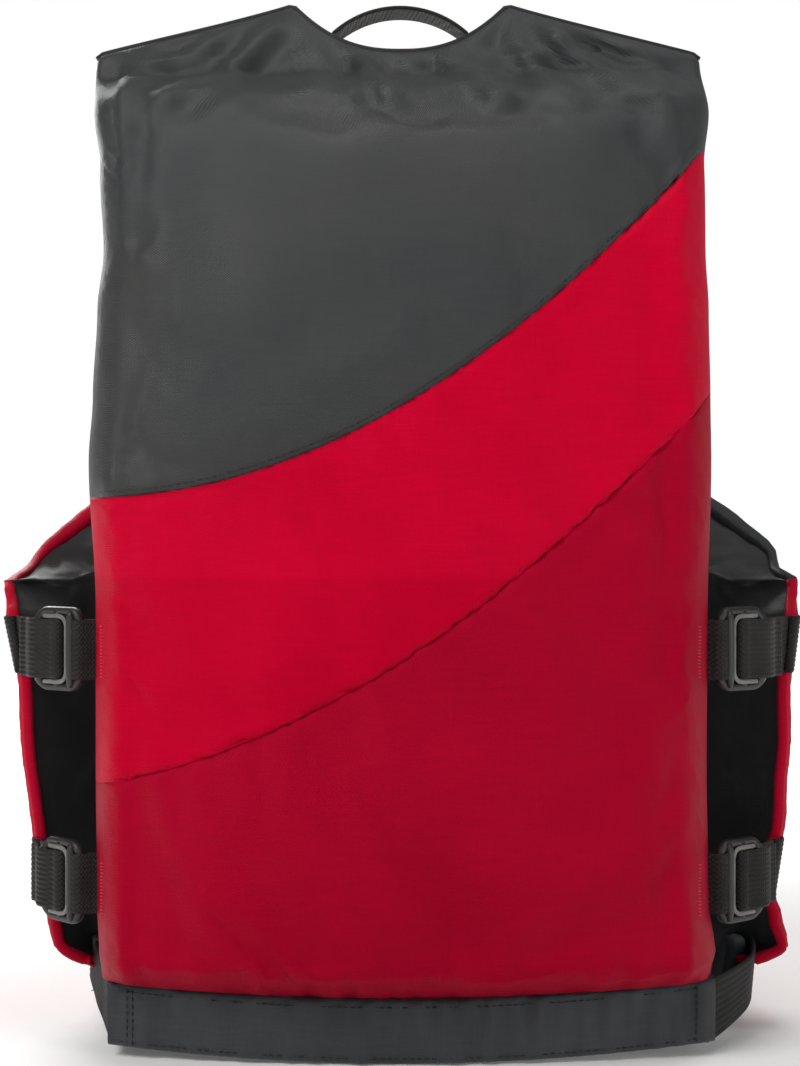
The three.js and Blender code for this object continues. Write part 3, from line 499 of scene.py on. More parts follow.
PLASTIC = moulded_plastic("black_acetal", srgb(27, 25, 23), srgb(40, 38, 36))
# A painted highlight: the pale grey on each adjuster's inner rim stands for light caught on the edge. It is
# not the plastic's own colour.
RIM_HIGHLIGHT_PAINT = moulded_plastic("acetal_rim_painted_highlight", srgb(112, 108, 105), srgb(88, 85, 82))
FOAM = foam_material()
GREY_THREAD = webbing_material("grey_thread", srgb(52, 52, 53), srgb(38, 38, 39), pitch=0.5)
TACK_THREAD = webbing_material("bartack_thread", srgb(232, 62, 86), srgb(204, 30, 62), pitch=0.5)
DARK_THREAD = webbing_material("dark_thread", srgb(138, 6, 34), srgb(112, 4, 28), pitch=0.5)
BLACK_THREAD = webbing_material("black_thread", srgb(40, 39, 39), srgb(28, 27, 27), pitch=0.5)

# ---- Placing a piece ----


def place(obj, body, stands_for=()):
    """Puts a piece on its CAD body and hides the CAD nodes it stands for."""
    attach(obj, body)
    return describe(obj, stands_for)


def bend(obj, start, end, stands_for=()):
    """For a soft piece between two bodies: bakes its transform into its mesh and hides the nodes it stands
    for, on no body. start and end, in millimetres, are not used.
    """
    tuple(to_frame(start))
    tuple(to_frame(end))
    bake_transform(obj)
    return describe(obj, stands_for)


def describe(obj, stands_for):
    if stands_for:
        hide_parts(*stands_for)
    return obj


# ---- Surfaces of the back ----

TOP_CORNER = 3.5  # radius of the cloth's corners at the shoulders
# How far the soft side edges wander outwards, by height
DRIFT_LEVELS = (28, 36, 44, 63, 120, 190, 252, 280, 316, 341, 379, 405, 425, 455)
PANEL_DRIFT = {"left": (-4, -3.2, -2, -1.2, -0.6, -0.6, 2.4, 0.6, -1.3, -3.9, -1.3, 2.6, 3, 3),
               "right": (1, 2.4, 4.2, 1.4, 0.4, 0.9, 2.4, 2, 1.3, 0, 0.4, 3.7, 1.4, 0)}


def drift(points):
    """Moves the back's side edges a little in and out, as slack cloth over foam does."""
    x, z = points[..., 0], points[..., 2]
    left, right = (eased(z, DRIFT_LEVELS, PANEL_DRIFT[side]) for side in ("left", "right"))
    moved = points.copy()
    moved[..., 0] += np.where(x > 0, left, -right) * smooth((np.abs(x) - 70) / 60)
    return moved


def back_inner(x, z):
    lean = np.maximum(0, z - (HEIGHT - LEAN_DROP)) / LEAN_DROP
    return BACK_INNER_Y - BACK_BOW * (x / BACK_HALF_WIDTH) ** 2 - TOP_LEAN * lean**2


def back_thickness(x, z):
    side = ramp(BACK_HALF_WIDTH - np.abs(x), EDGE_ROLL)
    top = ramp(FOAM_TOP + EDGE_ROLL - z, EDGE_ROLL)
    bottom = ramp(z - BAND_TOP, EDGE_ROLL)
    return EDGE + (PADDED - EDGE) * side * top * bottom


def back_top(x):
    across = np.abs(x)
    neck = HEIGHT - NECK_DROP * (1 - np.minimum(across / NECK_HALF_WIDTH, 1) ** 2.4)
    out = np.maximum(across - NECK_HALF_WIDTH, 0) / (BACK_HALF_WIDTH - NECK_HALF_WIDTH)
    corner = clamp01((across - BACK_HALF_WIDTH + TOP_CORNER) / TOP_CORNER)
    shoulder = HEIGHT - SHOULDER_DROP * out**0.88 - TOP_CORNER * (1 - np.sqrt(1 - 0.96 * corner**2))
    return np.where(across < NECK_HALF_WIDTH, neck, shoulder)


def seam_height(seam, x):
    t = -x / BACK_HALF_WIDTH
    return seam[0] + seam[1] * t + seam[2] * t * t


BAND_ARC = 5.5  # the waistband's ends curve up this much
BAND_SHIFT = -5  # the soft waistband sits a little to the wearer's right
BAND_HALF_WIDTH = 128.5


def band_lift(x):
    return BAND_ARC * (np.abs(x) / BACK_HALF_WIDTH) ** 2


def back_point(x, z, depth):
    return np.stack(np.broadcast_arrays(x, back_inner(x, z) + depth, z), -1)


# ---- Surfaces of the fronts, on the wearer's left ----


def inner_half_width(z):
    return lerp(WAIST_HALF_WIDTH, CHEST_HALF_WIDTH, smooth((z - BAND) / (ARMHOLE_BOTTOM - BAND))) - PADDED


def angle_at_x(x, z):
    return np.arcsin(clamp01(x / inner_half_width(z)) ** (1 / OVAL_POWER))


def zip_edge_angle(z):
    t = clamp01((z - ZIP_TOP) / NECKLINE_DEPTH)
    return angle_at_x(lerp(SHELL_EDGE_X, NECK_FRONT_X, t**0.7), z)


def side_edge_angle(z):
    full = math.pi / 2 + SIDE_WRAP
    reach = inner_half_width(z) - np.maximum(0, z - ARMHOLE_BOTTOM) * ARMHOLE_SLOPE
    above = angle_at_x(np.maximum(SHOULDER_FRONT_X, reach), z)
    below = lerp(full, math.pi / 2, ramp(z - (ARMHOLE_BOTTOM - EDGE_ROLL), EDGE_ROLL))
    return np.where(z > ARMHOLE_BOTTOM, above, below)


def front_point(angle, z, depth):
    cos = np.cos(angle)
    x = (inner_half_width(z) + depth) * np.sin(angle) ** OVAL_POWER
    along = np.sign(cos) * np.abs(cos) ** OVAL_POWER
    lean = FRONT_LEAN * (np.maximum(0, z - ZIP_TOP) / NECKLINE_DEPTH) ** 2
    return np.stack(np.broadcast_arrays(x, -(BACK_INNER_Y + depth) * along + lean, z), -1)


# How far each wing's free edge stands outside its pattern, by height
WING_LEVELS = (14, 36, 50, 63, 77, 90, 118, 159, 172, 186, 200, 214, 227, 241, 262, 300)
WING_SWELL = {"left": (-5, -5, -3.5, -1.5, -1, -0.6, -0.4, -3, -3.5, 0.6, 4, 9, 6.5, 4.7, 2, 0),
              "right": (10, 14, 9.6, 4.5, 4.5, 7, 5, 1, 0.8, 2.4, 4.5, 16, 13, 11, 5, 0)}


def swell(points, side):
    """Points of the wearer's left, put on their own side with the wing's own bulges and pinches."""
    x, z = np.abs(points[..., 0]), points[..., 2]
    moved = points.copy()
    moved[..., 0] = x + eased(z, WING_LEVELS, WING_SWELL[side]) * smooth((x - 105) / 45)
    return mirrored(moved, SIDES[side])


def mirrored(points, sign):
    return points * np.array([sign, 1, 1])


def mirrored_sweep(name, section, path, sides_and_normals, sign, material, closed=False):
    """As sweep, for a path of the wearer's left, put on the side that sign gives."""
    side, normal = sides_and_normals
    centres = mirrored(path, sign)
    return sweep(name, section, centres, mirrored(side, sign), mirrored(normal, sign), material, closed)


def step_round(angle, z, mm):
    """The angle that lies mm further round the front at height z."""
    small = 0.02 if mm >= 0 else -0.02
    gap = np.linalg.norm(front_point(angle, z, 0) - front_point(angle + small, z, 0), axis=-1)
    return angle + mm * abs(small) / gap


def front_hem(u):
    return HEM_RISE * np.maximum(0, (u - 0.3) / 0.7) ** 1.5


def mean_radius(z):
    return (inner_half_width(z) + BACK_INNER_Y) / 2


def side_distance(angle, z):
    return (side_edge_angle(z) - angle) * mean_radius(z)


def front_thickness(angle, z):
    zip_side = ramp((angle - zip_edge_angle(z)) * mean_radius(z), EDGE_ROLL)
    ends = ramp(z - BAND_TOP, EDGE_ROLL) * ramp(FRONT_TOP - z, EDGE_ROLL)
    return EDGE + (PADDED - EDGE) * zip_side * ramp(side_distance(angle, z), WING_ROLL) * ends


def front_base(angle, z, bottom):
    """Depth of the lining: the wing rolls outwards, except at the shoulder and down at the hem."""
    roll = 1 - ramp(side_distance(angle, z), WING_ROLL)
    return (PADDED - EDGE) * roll * ramp(FRONT_TOP - z, 2 * WING_ROLL) * smooth((z - bottom) / 11)


# ---- Cloth ----

SINK = 0.4  # how far the cloth may press into its padding
CLOTH_FRAMES = 20
CLOTH_SETTINGS = {
    "quality": 6,
    "mass": 0.15,
    "tension_stiffness": 20,
    "compression_stiffness": 20,
    "shear_stiffness": 10,
    "bending_stiffness": 0.3,
    "use_pressure": True,
}


def settle(points, fixed, pressure, slack, cap, outward):
    """Simulates a grid of cloth held where fixed is 1, blown along its normals, and returns its new points.

    slack is the share by which the cloth is larger than its place; no point moves further than cap."""
    nu, nv = points.shape[:2]
    faces = grid_faces(nu, nv)
    middle = grid_normals(points)[nu // 2, nv // 2]
    if np.dot(middle, outward) < 0:
        faces = [f[::-1] for f in faces]
    mesh = bpy.data.meshes.new("cloth")
    mesh.from_pydata(to_frame(points).reshape(-1, 3).tolist(), [], faces)
    obj = bpy.data.objects.new("cloth", mesh)
    scene = bpy.context.scene
    scene.collection.objects.link(obj)
    pins = obj.vertex_groups.new(name="pins")
    for index, weight in enumerate(np.clip(fixed, 0, 1).ravel().tolist()):
        if weight > 0:
            pins.add([index], weight, "REPLACE")
    cloth = obj.modifiers.new("cloth", "CLOTH")
    cloth.settings.vertex_group_mass = "pins"
    for key, value in CLOTH_SETTINGS.items():
        setattr(cloth.settings, key, value)
    cloth.settings.uniform_pressure_force = pressure
    cloth.settings.shrink_min = -slack
    cloth.settings.effector_weights.gravity = 0
    cloth.collision_settings.use_collision = False
    cloth.point_cache.frame_start = 1
    cloth.point_cache.frame_end = CLOTH_FRAMES
    for number in range(1, CLOTH_FRAMES + 1):
        scene.frame_set(number)
    solved = obj.evaluated_get(bpy.context.evaluated_depsgraph_get()).data
    moved = np.zeros(nu * nv * 3, np.float32)
    solved.vertices.foreach_get("co", moved)
    moved = moved.reshape(nu, nv, 3).astype(float) / MM
    moved[..., 1] -= SHIFT_Y
    bpy.data.objects.remove(obj)
    bpy.data.meshes.remove(mesh)
    scene.frame_set(1)
    shift = moved - points
    normals = outward_normals(points, outward)
    sunk = np.sum(shift * normals, -1, keepdims=True) + SINK
    shift -= normals * np.minimum(sunk, 0)
    distance = np.linalg.norm(shift, axis=-1, keepdims=True)
    return points + shift * np.minimum(1, cap / np.maximum(distance, 1e-9))


def grid_normals(points):
    return unit(np.cross(np.gradient(points, axis=0), np.gradient(points, axis=1)))


def outward_normals(points, outward):
    n = grid_normals(points)
    facing = np.sum(n[n.shape[0] // 2, n.shape[1] // 2] * outward)
    return n if facing > 0 else -n


def skin(name, outer, outward, thick, material):
    """A closed cloth piece of one thickness under a grid of outer points."""
    inner = outer - outward_normals(outer, outward) * thick
    return closed_sheet(name, to_frame(outer), to_frame(inner), material)


def ridge(x, z, start, end, width, height):
    """Height of one soft fold from start to end, tapered at both ends."""
    dx, dz = end[0] - start[0], end[1] - start[1]
    length = math.hypot(dx, dz)
    along = ((x - start[0]) * dx + (z - start[1]) * dz) / length
    off = ((x - start[0]) * dz - (z - start[1]) * dx) / length
    ends = smooth(along / (0.3 * length)) * smooth((length - along) / (0.45 * length))
    hollow = 0.45 * np.exp(-(((np.abs(off) - 2 * width) / width) ** 2))
    return height * (np.exp(-((off / width) ** 2)) - hollow) * ends


# ---- Back panel ----

CLOTH_THICK = 0.9
LINING_THICK = 0.5
LEAST_DEPTH = 0.9  # a shell stands at least this far off its lining
SEAM_HOLD = 0.9  # how firmly a seam's row stays in its place
ROW_LEVELS = (28, 167, 273, 430)  # rough heights of the hem, the two seams and the top, for spacing rows
ROW_PITCHES = (4.6, 4.6, 2.8)  # closer in the upper band, where the cloth folds
SEAM_TUCKS = ((1.6, 0.6), (1.9, 0.9))  # width and depth of the dent along the lower and the upper seam
FOLD_SCALE = 2.0
# Folds in the loose cloth above the foam: start, end, width, height
BACK_FOLDS = [
    ((46, 450), (92, 400), 5.0, 3.4),
    ((66, 446), (116, 412), 4.0, 2.0),
    ((80, 438), (104, 384), 5.0, 1.6),
    ((26, 437), (-4, 394), 4.6, 3.2),
    ((8, 430), (26, 396), 4.2, 1.7),
    ((-14, 434), (-30, 412), 4.2, 2.4),
    ((-26, 420), (-50, 398), 4.6, 3.0),
    ((-56, 446), (-110, 396), 5.4, 3.8),
    ((-74, 446), (-124, 424), 4.2, 2.0),
    ((-44, 446), (-66, 404), 4.4, 2.2),
    ((-104, 430), (-112, 366), 5.0, 1.6),
    ((112, 432), (117, 352), 4.6, 1.7),
    ((106, 340), (112, 250), 5.0, 0.9),
    ((-112, 360), (-108, 250), 5.0, 0.9),
]


def back_columns():
    return edge_spread(2 * BACK_HALF_WIDTH, pitch=3.2) - BACK_HALF_WIDTH


def back_rows(low, high, pitch):
    """Shares of the way up one colour band, close together at its two seams."""
    length = high - low
    return edge_spread(length, (0, 0.9, 2.0, 3.6, 6.2), pitch) / length


def back_shell():
    columns = back_columns()
    hem = BAND_TOP + band_lift(columns) - 1.2
    lower, upper = seam_height(LOWER_SEAM, columns), seam_height(UPPER_SEAM, columns)
    top = back_top(columns) - 1.5
    spacing = [back_rows(*ROW_LEVELS[i : i + 2], pitch) for i, pitch in enumerate(ROW_PITCHES)]
    bands = [
        low[:, None] + share[None] * (high - low)[:, None]
        for low, high, share in zip((hem, lower, upper), (lower, upper, top), spacing)
    ]
    z = np.concatenate(bands, 1)
    counts = [len(share) for share in spacing]
    keep = np.ones(z.shape[1], bool)
    keep[[counts[0], counts[0] + counts[1]]] = False  # a seam's row is shared by the two bands beside it
    z = z[:, keep]
    seam_rows = (counts[0] - 1, counts[0] + counts[1] - 2)
    x = np.broadcast_to(columns[:, None], z.shape)
    side = BACK_HALF_WIDTH - np.abs(x)
    over = top[:, None] - z
    under = z - hem[:, None]
    depth = back_thickness(x, z) * lip(side) * lip(over, 2.5) * lerp(0.72, 1, lip(under, 5))
    depth = np.maximum(depth, LEAST_DEPTH)
    depth -= 1.6 * np.exp(-(((side - 21) / 6) ** 2)) * smooth(under / 40) * smooth((FOAM_TOP - z) / 30)
    points = back_point(x, z, depth)
    held = np.maximum.reduce([smooth(1.4 - side / 9), smooth(1.4 - over / 7), smooth(1.4 - under / 7)])
    for row in seam_rows:
        held[:, row] = np.maximum(held[:, row], SEAM_HOLD)
    points = settle(points, held, pressure=1.2, slack=0.022, cap=4.5, outward=(0, 1, 0))
    unevenness = Waves(3, 26, 80, stretch=(1, 1.4))(x, z) * 0.5
    gather = Waves(11, 8, 18, stretch=(1, 3))(x, z * 0.3) * 1.9 * np.exp(-under / 11) * smooth(under / 2.5)
    folds = sum(ridge(x, z, *fold) for fold in BACK_FOLDS) * FOLD_SCALE
    loose = Waves(21, 16, 44)(x, z) * 1.1 * smooth((z - 376) / 36)
    raised = (unevenness + folds + loose) * smooth(side / 14) * smooth(over / 9) * smooth(under / 14) + gather
    for row, (sharp, tuck) in zip(seam_rows, SEAM_TUCKS):
        from_seam = np.abs(z - z[:, row : row + 1]) * 0.87
        raised -= tuck * np.exp(-((from_seam / sharp) ** 2)) * smooth(side / 5)
        raised += 0.5 * np.exp(-(((from_seam - 4.5) / 2.4) ** 2)) * smooth(side / 8)
    points[..., 1] += raised
    return drift(points), seam_rows


back_points, (LOWER_ROW, UPPER_ROW) = back_shell()
back_pieces = [
    ("back_shell_lower", slice(0, LOWER_ROW + 1), DARK_RED, "back_lower_panel", "dark_red_cloth"),
    ("back_shell_middle", slice(LOWER_ROW, UPPER_ROW + 1), RED, "back_middle_panel", "red_cloth"),
    ("back_shell_upper", slice(UPPER_ROW, None), GREY, "back_upper_panel", "grey_cloth"),
]
for name, rows, material, node, slot_name in back_pieces:
    piece = skin(name, back_points[:, rows], (0, 1, 0), CLOTH_THICK, material)
    place(piece, "root", [node])


def back_surface(x, z, lift=0.0):
    """Points on the finished back shell at places across and up it."""
    x, z = np.broadcast_arrays(np.asarray(x, float), np.asarray(z, float))
    found = []
    for px, pz in zip(x.ravel(), z.ravel()):
        level = [[np.interp(pz, column[:, 2], column[:, k]) for k in (0, 1)] for column in back_points]
        xs, ys = np.array(level).T
        found.append((px, np.interp(px, xs, ys) + lift, pz))
    return np.array(found)


def seam_line(seam, offset, margin=4):
    x = np.linspace(-BACK_HALF_WIDTH + margin, BACK_HALF_WIDTH - margin, 140)
    return back_surface(x, seam_height(seam, x) + offset)


OUT = (0, 1, 0)
BARTACK_X = 124.4  # where the strap loops are sewn into the back's side seams
BARTACK_HALF = 10.5


def back_sewing():
    """The topstitching along both seams, and a bartack over each strap loop."""
    upper = stitch_row("stitch_upper_seam", seam_line(UPPER_SEAM, 2.4), OUT, GREY_THREAD, radius=0.2)
    lower = stitch_row("stitch_lower_seam", seam_line(LOWER_SEAM, 1.6), OUT, DARK_THREAD,
                       pitch=2.8, length=2.0, radius=0.15, lift=0.05)
    rows = [upper, lower]
    for side, sign in SIDES.items():
        for level, z in STRAP_LEVELS.items():
            heights = np.linspace(z - BARTACK_HALF, z + BARTACK_HALF, 30)
            path = back_surface(sign * BARTACK_X, heights, lift=0.1)
            name = f"bartack_{level}_{side}"
            rows.append(stitch_row(name, path, OUT, TACK_THREAD, 1.4, 2.0, 0.27, turned=True))
    for row in rows:
        place(row, "root")


def back_lining():
    """The lining next to the wearer, slightly quilted and crowned into the foam."""
    columns = back_columns()[:, None]
    share = (edge_spread(400, pitch=7) / 400)[None]
    z = lerp(BAND_TOP - 1 + band_lift(columns), back_top(columns) - 1.5, share)
    x = np.broadcast_to(columns, z.shape)
    gap = BACK_HALF_WIDTH - np.abs(x)
    quilt = Waves(5, 24, 70)(x, z) * 0.7 * smooth(gap / 20) * smooth((back_top(x) - z) / 20)
    crown = -2.2 * smooth(gap / 60) * smooth((z - BAND) / 50) * smooth((FOAM_TOP - z) / 40)
    points = drift(back_point(x, z, 0.6 * (1 - lip(gap)) + quilt + crown))
    lining = skin("back_lining_cloth", points, (0, -1, 0), LINING_THICK, LINING)
    place(lining, "root", ["back_lining"])


def back_binding():
    """The bound top edge: a folded tape over the raw edges."""
    x = np.linspace(-BACK_HALF_WIDTH + 0.5, BACK_HALF_WIDTH - 0.5, 110)
    path = drift(back_point(x, back_top(x) - 2.0, 1.2))
    tape = sweep("back_edge_binding", ellipse(1.5, 1.7, 18, 3), path, *path_frame(path, OUT), BLACK_BINDING)
    place(tape, "root", ["back_binding"])


back_sewing()
back_lining()
back_binding()

# ---- Waistband of the back ----

BAND_THICK = 6
BAND_STITCHES = {"top": 0.86, "bottom": 0.1}  # shares of the way up the band
STITCH_DEPTH = 6.2


def band_layer(low, high, columns, surface):
    """Outer and inner grids of a waistband: rounded edges, and gathers that run up and down."""
    share = edge_spread(BAND, (0, 0.5, 1.3, 2.4, 4.0), 2.6) / BAND
    z = lerp(low[:, None], high[:, None], share[None])
    a = np.broadcast_to(columns[:, None], z.shape)
    round_off = lip(np.minimum(share, 1 - share) * BAND, 3)[None]
    run = a if surface is back_point else a * 100
    gathers = Waves(31, 7, 24, stretch=(1, 5))(run, z) * 0.7
    outer = surface(a, z, 2.5 + (BAND_THICK - 2.5) * round_off + gathers * round_off)
    inner = surface(a, z, 2.5 - 3.5 * round_off)
    return outer, inner


def back_band():
    columns = np.linspace(-BAND_HALF_WIDTH, BAND_HALF_WIDTH, 130) + BAND_SHIFT
    foot = band_lift(columns)
    outer, inner = band_layer(foot, BAND + foot, columns, back_point)
    band = closed_sheet("back_waistband_cloth", to_frame(outer), to_frame(inner), BAND_GREY)
    place(band, "root", ["back_waistband"])
    inset = columns[3:-3]
    for label, share in BAND_STITCHES.items():
        line = back_point(inset, band_lift(inset) + share * BAND, BAND_THICK)
        place(stitch_row(f"stitch_band_{label}", line, OUT, BLACK_THREAD), "root")
    for side, sign in SIDES.items():
        for k, inset in enumerate((8.5, 10.9)[: 2 if side == "left" else 1]):
            x = np.full(20, sign * (BAND_HALF_WIDTH - inset) + BAND_SHIFT)
            shares = np.linspace(BAND_STITCHES["bottom"], BAND_STITCHES["top"], 20)
            end = back_point(x, band_lift(x) + shares * BAND, STITCH_DEPTH)
            place(stitch_row(f"stitch_band_end_{side}_{k}", end, OUT, BLACK_THREAD), "root")


back_band()

# ---- Shoulders ----

SHOULDER_WIDTH = BACK_HALF_WIDTH - NECK_HALF_WIDTH
SHOULDER_RUN = 140  # rough length over the shoulder, for spacing
SHOULDER_UP = (0, -0.3, 1)

def shoulder_point(u, v, offset):
    """A place across and along one shoulder, from the back's top edge to the front seam."""
    x = lerp(NECK_HALF_WIDTH, BACK_HALF_WIDTH, u)
    top = back_top(x)
    start = np.stack([x, back_inner(x, top) - 0.9, top - SHOULDER_PADDED / 2], -1)
    z_end = np.full_like(u, FRONT_TOP)
    angle = lerp(zip_edge_angle(z_end), side_edge_angle(z_end), u)
    end = front_point(angle, z_end, EDGE / 2) + np.array([0, 0, 0.3])
    handles = [start, start + np.array([0, -38, 0]), end + np.array([0, 8, 55]), end]
    t = v[..., None]
    weights = [(1 - t) ** 3, 3 * t * (1 - t) ** 2, 3 * t * t * (1 - t), t**3]
    point = sum(w * h for w, h in zip(weights, handles))
    slopes = [3 * (1 - t) ** 2, 6 * t * (1 - t), 3 * t * t]
    tangent = sum(s * (b - a) for s, a, b in zip(slopes, handles[:-1], handles[1:]))
    normal = unit(np.stack([np.zeros_like(u), tangent[..., 2], -tangent[..., 1]], -1))
    return point + normal * np.asarray(offset)[..., None]


def shoulder(sign, side):
    sizes = (SHOULDER_WIDTH, SHOULDER_RUN)
    across, along = (edge_spread(size, (0, 0.6, 1.5, 2.8, 4.6, 7), 5) / size for size in sizes)
    u, v = np.meshgrid(across, along, indexing="ij")
    edge = np.minimum(u, 1 - u) * SHOULDER_WIDTH
    ends = np.minimum(v, 1 - v) * SHOULDER_RUN
    half = SHOULDER_PADDED / 2
    crown = 2.2 * smooth(edge / 26) * smooth(ends / 26)
    wrinkles = Waves(41, 14, 46, stretch=(2, 1))(u * SHOULDER_WIDTH, v * SHOULDER_RUN) * 0.6
    wrinkles = wrinkles * smooth(edge / 10) * smooth(ends / 6)
    lips = lip(edge) * lip(ends, 2.5)
    outer = shoulder_point(u, v, half * lips + crown + wrinkles)
    held = np.maximum(smooth(1.4 - edge / 8), smooth(1.4 - ends / 8))
    outer = settle(outer, held, pressure=1.0, slack=0.02, cap=3, outward=SHOULDER_UP)
    under = shoulder_point(u, v, -half * lips - crown * 0.5 + wrinkles * 0.4)
    start, end = (sign * 85, 22, 440), (sign * 80, -52, 356)
    shell = skin(f"shoulder_shell_cloth_{side}", mirrored(outer, sign), SHOULDER_UP, CLOTH_THICK, GREY)
    bend(shell, start, end, [f"shoulder_shell_{side}"])
    cover = skin(f"shoulder_lining_cloth_{side}", mirrored(under, sign), (0, 0.3, -1), LINING_THICK, LINING)
    bend(cover, start, end, [f"shoulder_lining_{side}"])
    u_pad, v_pad = (np.clip(share, 0.06, 0.94) for share in (u, v))
    half_pad = (half - 2.2) * lip(edge - 4, 4)
    pad_outer = to_frame(mirrored(shoulder_point(u_pad, v_pad, half_pad + crown * 0.5), sign))
    pad_inner = to_frame(mirrored(shoulder_point(u_pad, v_pad, -half_pad), sign))
    pad = closed_sheet(f"shoulder_foam_{side}", pad_outer, pad_inner, FOAM)
    bend(pad, start, end, [f"shoulder_pad_{side}"])
    for u_edge, edge_name in ((0.03, "neck"), (0.97, "arm")):
        t = np.linspace(0.03, 0.97, 60)
        line = mirrored(shoulder_point(np.full_like(t, u_edge), t, half * 0.98), sign)
        row = stitch_row(f"stitch_shoulder_{edge_name}_{side}", line, SHOULDER_UP, GREY_THREAD)
        bend(row, start, end)


for side, sign in SIDES.items():
    shoulder(sign, side)

# ---- Front panels ----

WING_OVERHANG = 16  # how far the padded wing hangs over the waistband
FRONT_ARC = 200  # length round a front panel, for spacing its columns
FRONT_TUCK = 1.3  # how deep the front's colour seam pulls into the padding
AXIS_RADIUS = 110  # mean radius that turns an angle into a length for the waves
EDGE_INWARD = 0.8  # the wing's rolled edge overlaps the shell's by this much


def front_grid():
    share = edge_spread(FRONT_ARC, pitch=5) / FRONT_ARC
    hem = BAND_TOP + front_hem(share) - 1.2 - WING_OVERHANG * smooth((share - 0.55) / 0.35)
    stops = (ARMHOLE_BOTTOM, ARMHOLE_TOP, FRONT_TOP)
    rows, low = [], hem
    for length, high in zip((160, 48, 104), stops):
        fractions = edge_spread(length, (0, 0.9, 2.0, 3.6, 6.2), 5) / length
        low = np.broadcast_to(low, len(share))[:, None]
        rows.append(low + fractions[None] * (high - low))
        low = high
    z = np.concatenate([rows[0], rows[1][:, 1:], rows[2][:, 1:]], 1)
    seam_rows = (rows[0].shape[1] - 1, rows[0].shape[1] + rows[1].shape[1] - 2)
    start, end = zip_edge_angle(z), side_edge_angle(z)
    angle = start + share[:, None] * (end - start)
    return angle, z, np.broadcast_to(hem[:, None], z.shape), seam_rows


front_angle, front_z, front_hem_z, FRONT_SEAM_ROWS = front_grid()
front_zip_gap = (front_angle - zip_edge_angle(front_z)) * mean_radius(front_z)
front_side_gap = side_distance(front_angle, front_z)
front_ends = np.minimum(front_z - front_hem_z, FRONT_TOP - front_z)
front_lips = lip(front_zip_gap) * lip(front_side_gap) * lip(front_ends, 3)
front_rest = front_base(front_angle, front_z, front_hem_z)
FRONT_OUT = (0.5, -0.85, 0)


def front_shell_points():
    depth = np.maximum(front_thickness(front_angle, front_z) * front_lips, LEAST_DEPTH)
    points = front_point(front_angle, front_z, front_rest + depth)
    held = np.maximum.reduce([smooth(1.4 - g / 8) for g in (front_zip_gap, front_side_gap, front_ends)])
    points = settle(points, held, pressure=1.2, slack=0.022, cap=4, outward=FRONT_OUT)
    run = front_angle * AXIS_RADIUS
    soft = Waves(51, 24, 70)(run, front_z) * 0.7
    fold = 1.6 * np.exp(-(((front_z - ARMHOLE_BOTTOM) / 7) ** 2))
    inside = smooth(front_zip_gap / 12) * smooth(front_side_gap / 14) * smooth(front_ends / 14)
    gather = Waves(57, 9, 20, stretch=(1, 3))(run, front_z * 0.3) * 1.3
    gather *= np.exp(-(front_z - front_hem_z) / 12) * smooth((front_z - front_hem_z) / 2.5)
    return points + outward_normals(points, FRONT_OUT) * ((soft - fold) * inside + gather)[..., None]


def front_lining_points():
    crown = -3.6 * smooth(front_side_gap / 18) * smooth(front_zip_gap / 30) * smooth(front_ends / 30)
    lumps = Waves(61, 26, 64, stretch=(1, 2.2))(front_angle * AXIS_RADIUS, front_z) * 1.7
    lumps *= smooth(front_side_gap / 9) * smooth(front_ends / 16)
    depth = front_rest + 0.6 * (1 - lip(front_side_gap)) + crown + lumps
    points = front_point(front_angle, front_z, depth)
    held = np.maximum.reduce([smooth(1.4 - g / 7) for g in (front_zip_gap, front_side_gap, front_ends)])
    return settle(points, held, pressure=0.7, slack=0.03, cap=3, outward=(-0.5, 0.85, 0))


front_shell = front_shell_points()
front_lining = front_lining_points()
EDGE_SPLIT = {"left": ARMHOLE_TOP, "right": ARMHOLE_BOTTOM}  # where each side edge turns from red to grey


def side_edge_path(low, high, steps):
    z = np.linspace(low, high, steps)
    angle = step_round(side_edge_angle(z), z, -EDGE_INWARD)
    depth = front_base(angle, z, BAND_TOP + HEM_RISE - WING_OVERHANG)
    return front_point(angle, z, depth + EDGE / 2)


def side_binding(side, sign):
    """The rolled edge of the wing: red below the colour seam, grey above it, round at the hem."""
    seam = EDGE_SPLIT[side]
    corner_z = BAND_TOP + HEM_RISE - WING_OVERHANG
    lower = side_edge_path(corner_z + 4, seam, 60)
    z = np.full(10, corner_z + 1.5)
    inward = np.linspace(22, 0, 10)
    angle = side_edge_angle(z) - inward / mean_radius(z)
    turn = front_point(angle, z + 3.5 * np.linspace(0, 1, 10) ** 3, EDGE / 2 + 1.5)
    lower = rounded(np.concatenate([turn, lower]), 1)
    upper = side_edge_path(seam, FRONT_TOP - 1, 40)
    made = []
    for part, path, material in (("lower", lower, BINDING_RED), ("upper", upper, GREY)):
        radial = unit(path * (1, 1, 0))
        ripple = 1 + 0.03 * np.sin(np.arange(len(path)) * 1.9)
        size = ripple * lerp(0.74, 1.5, smooth((path[:, 2] - ARMHOLE_BOTTOM - 4) / 24))
        section = ellipse(3.4, 2.9, 16, 2.4)[None] * size[:, None, None]
        across, out = (mirrored(v, sign) for v in path_frame(path, radial))
        made.append(sweep(f"side_edge_{part}_{side}", section, swell(path, side), across, out, material))
    place(made[0], f"front_{side}", [f"side_binding_{side}"])
    place(made[1], f"front_{side}")


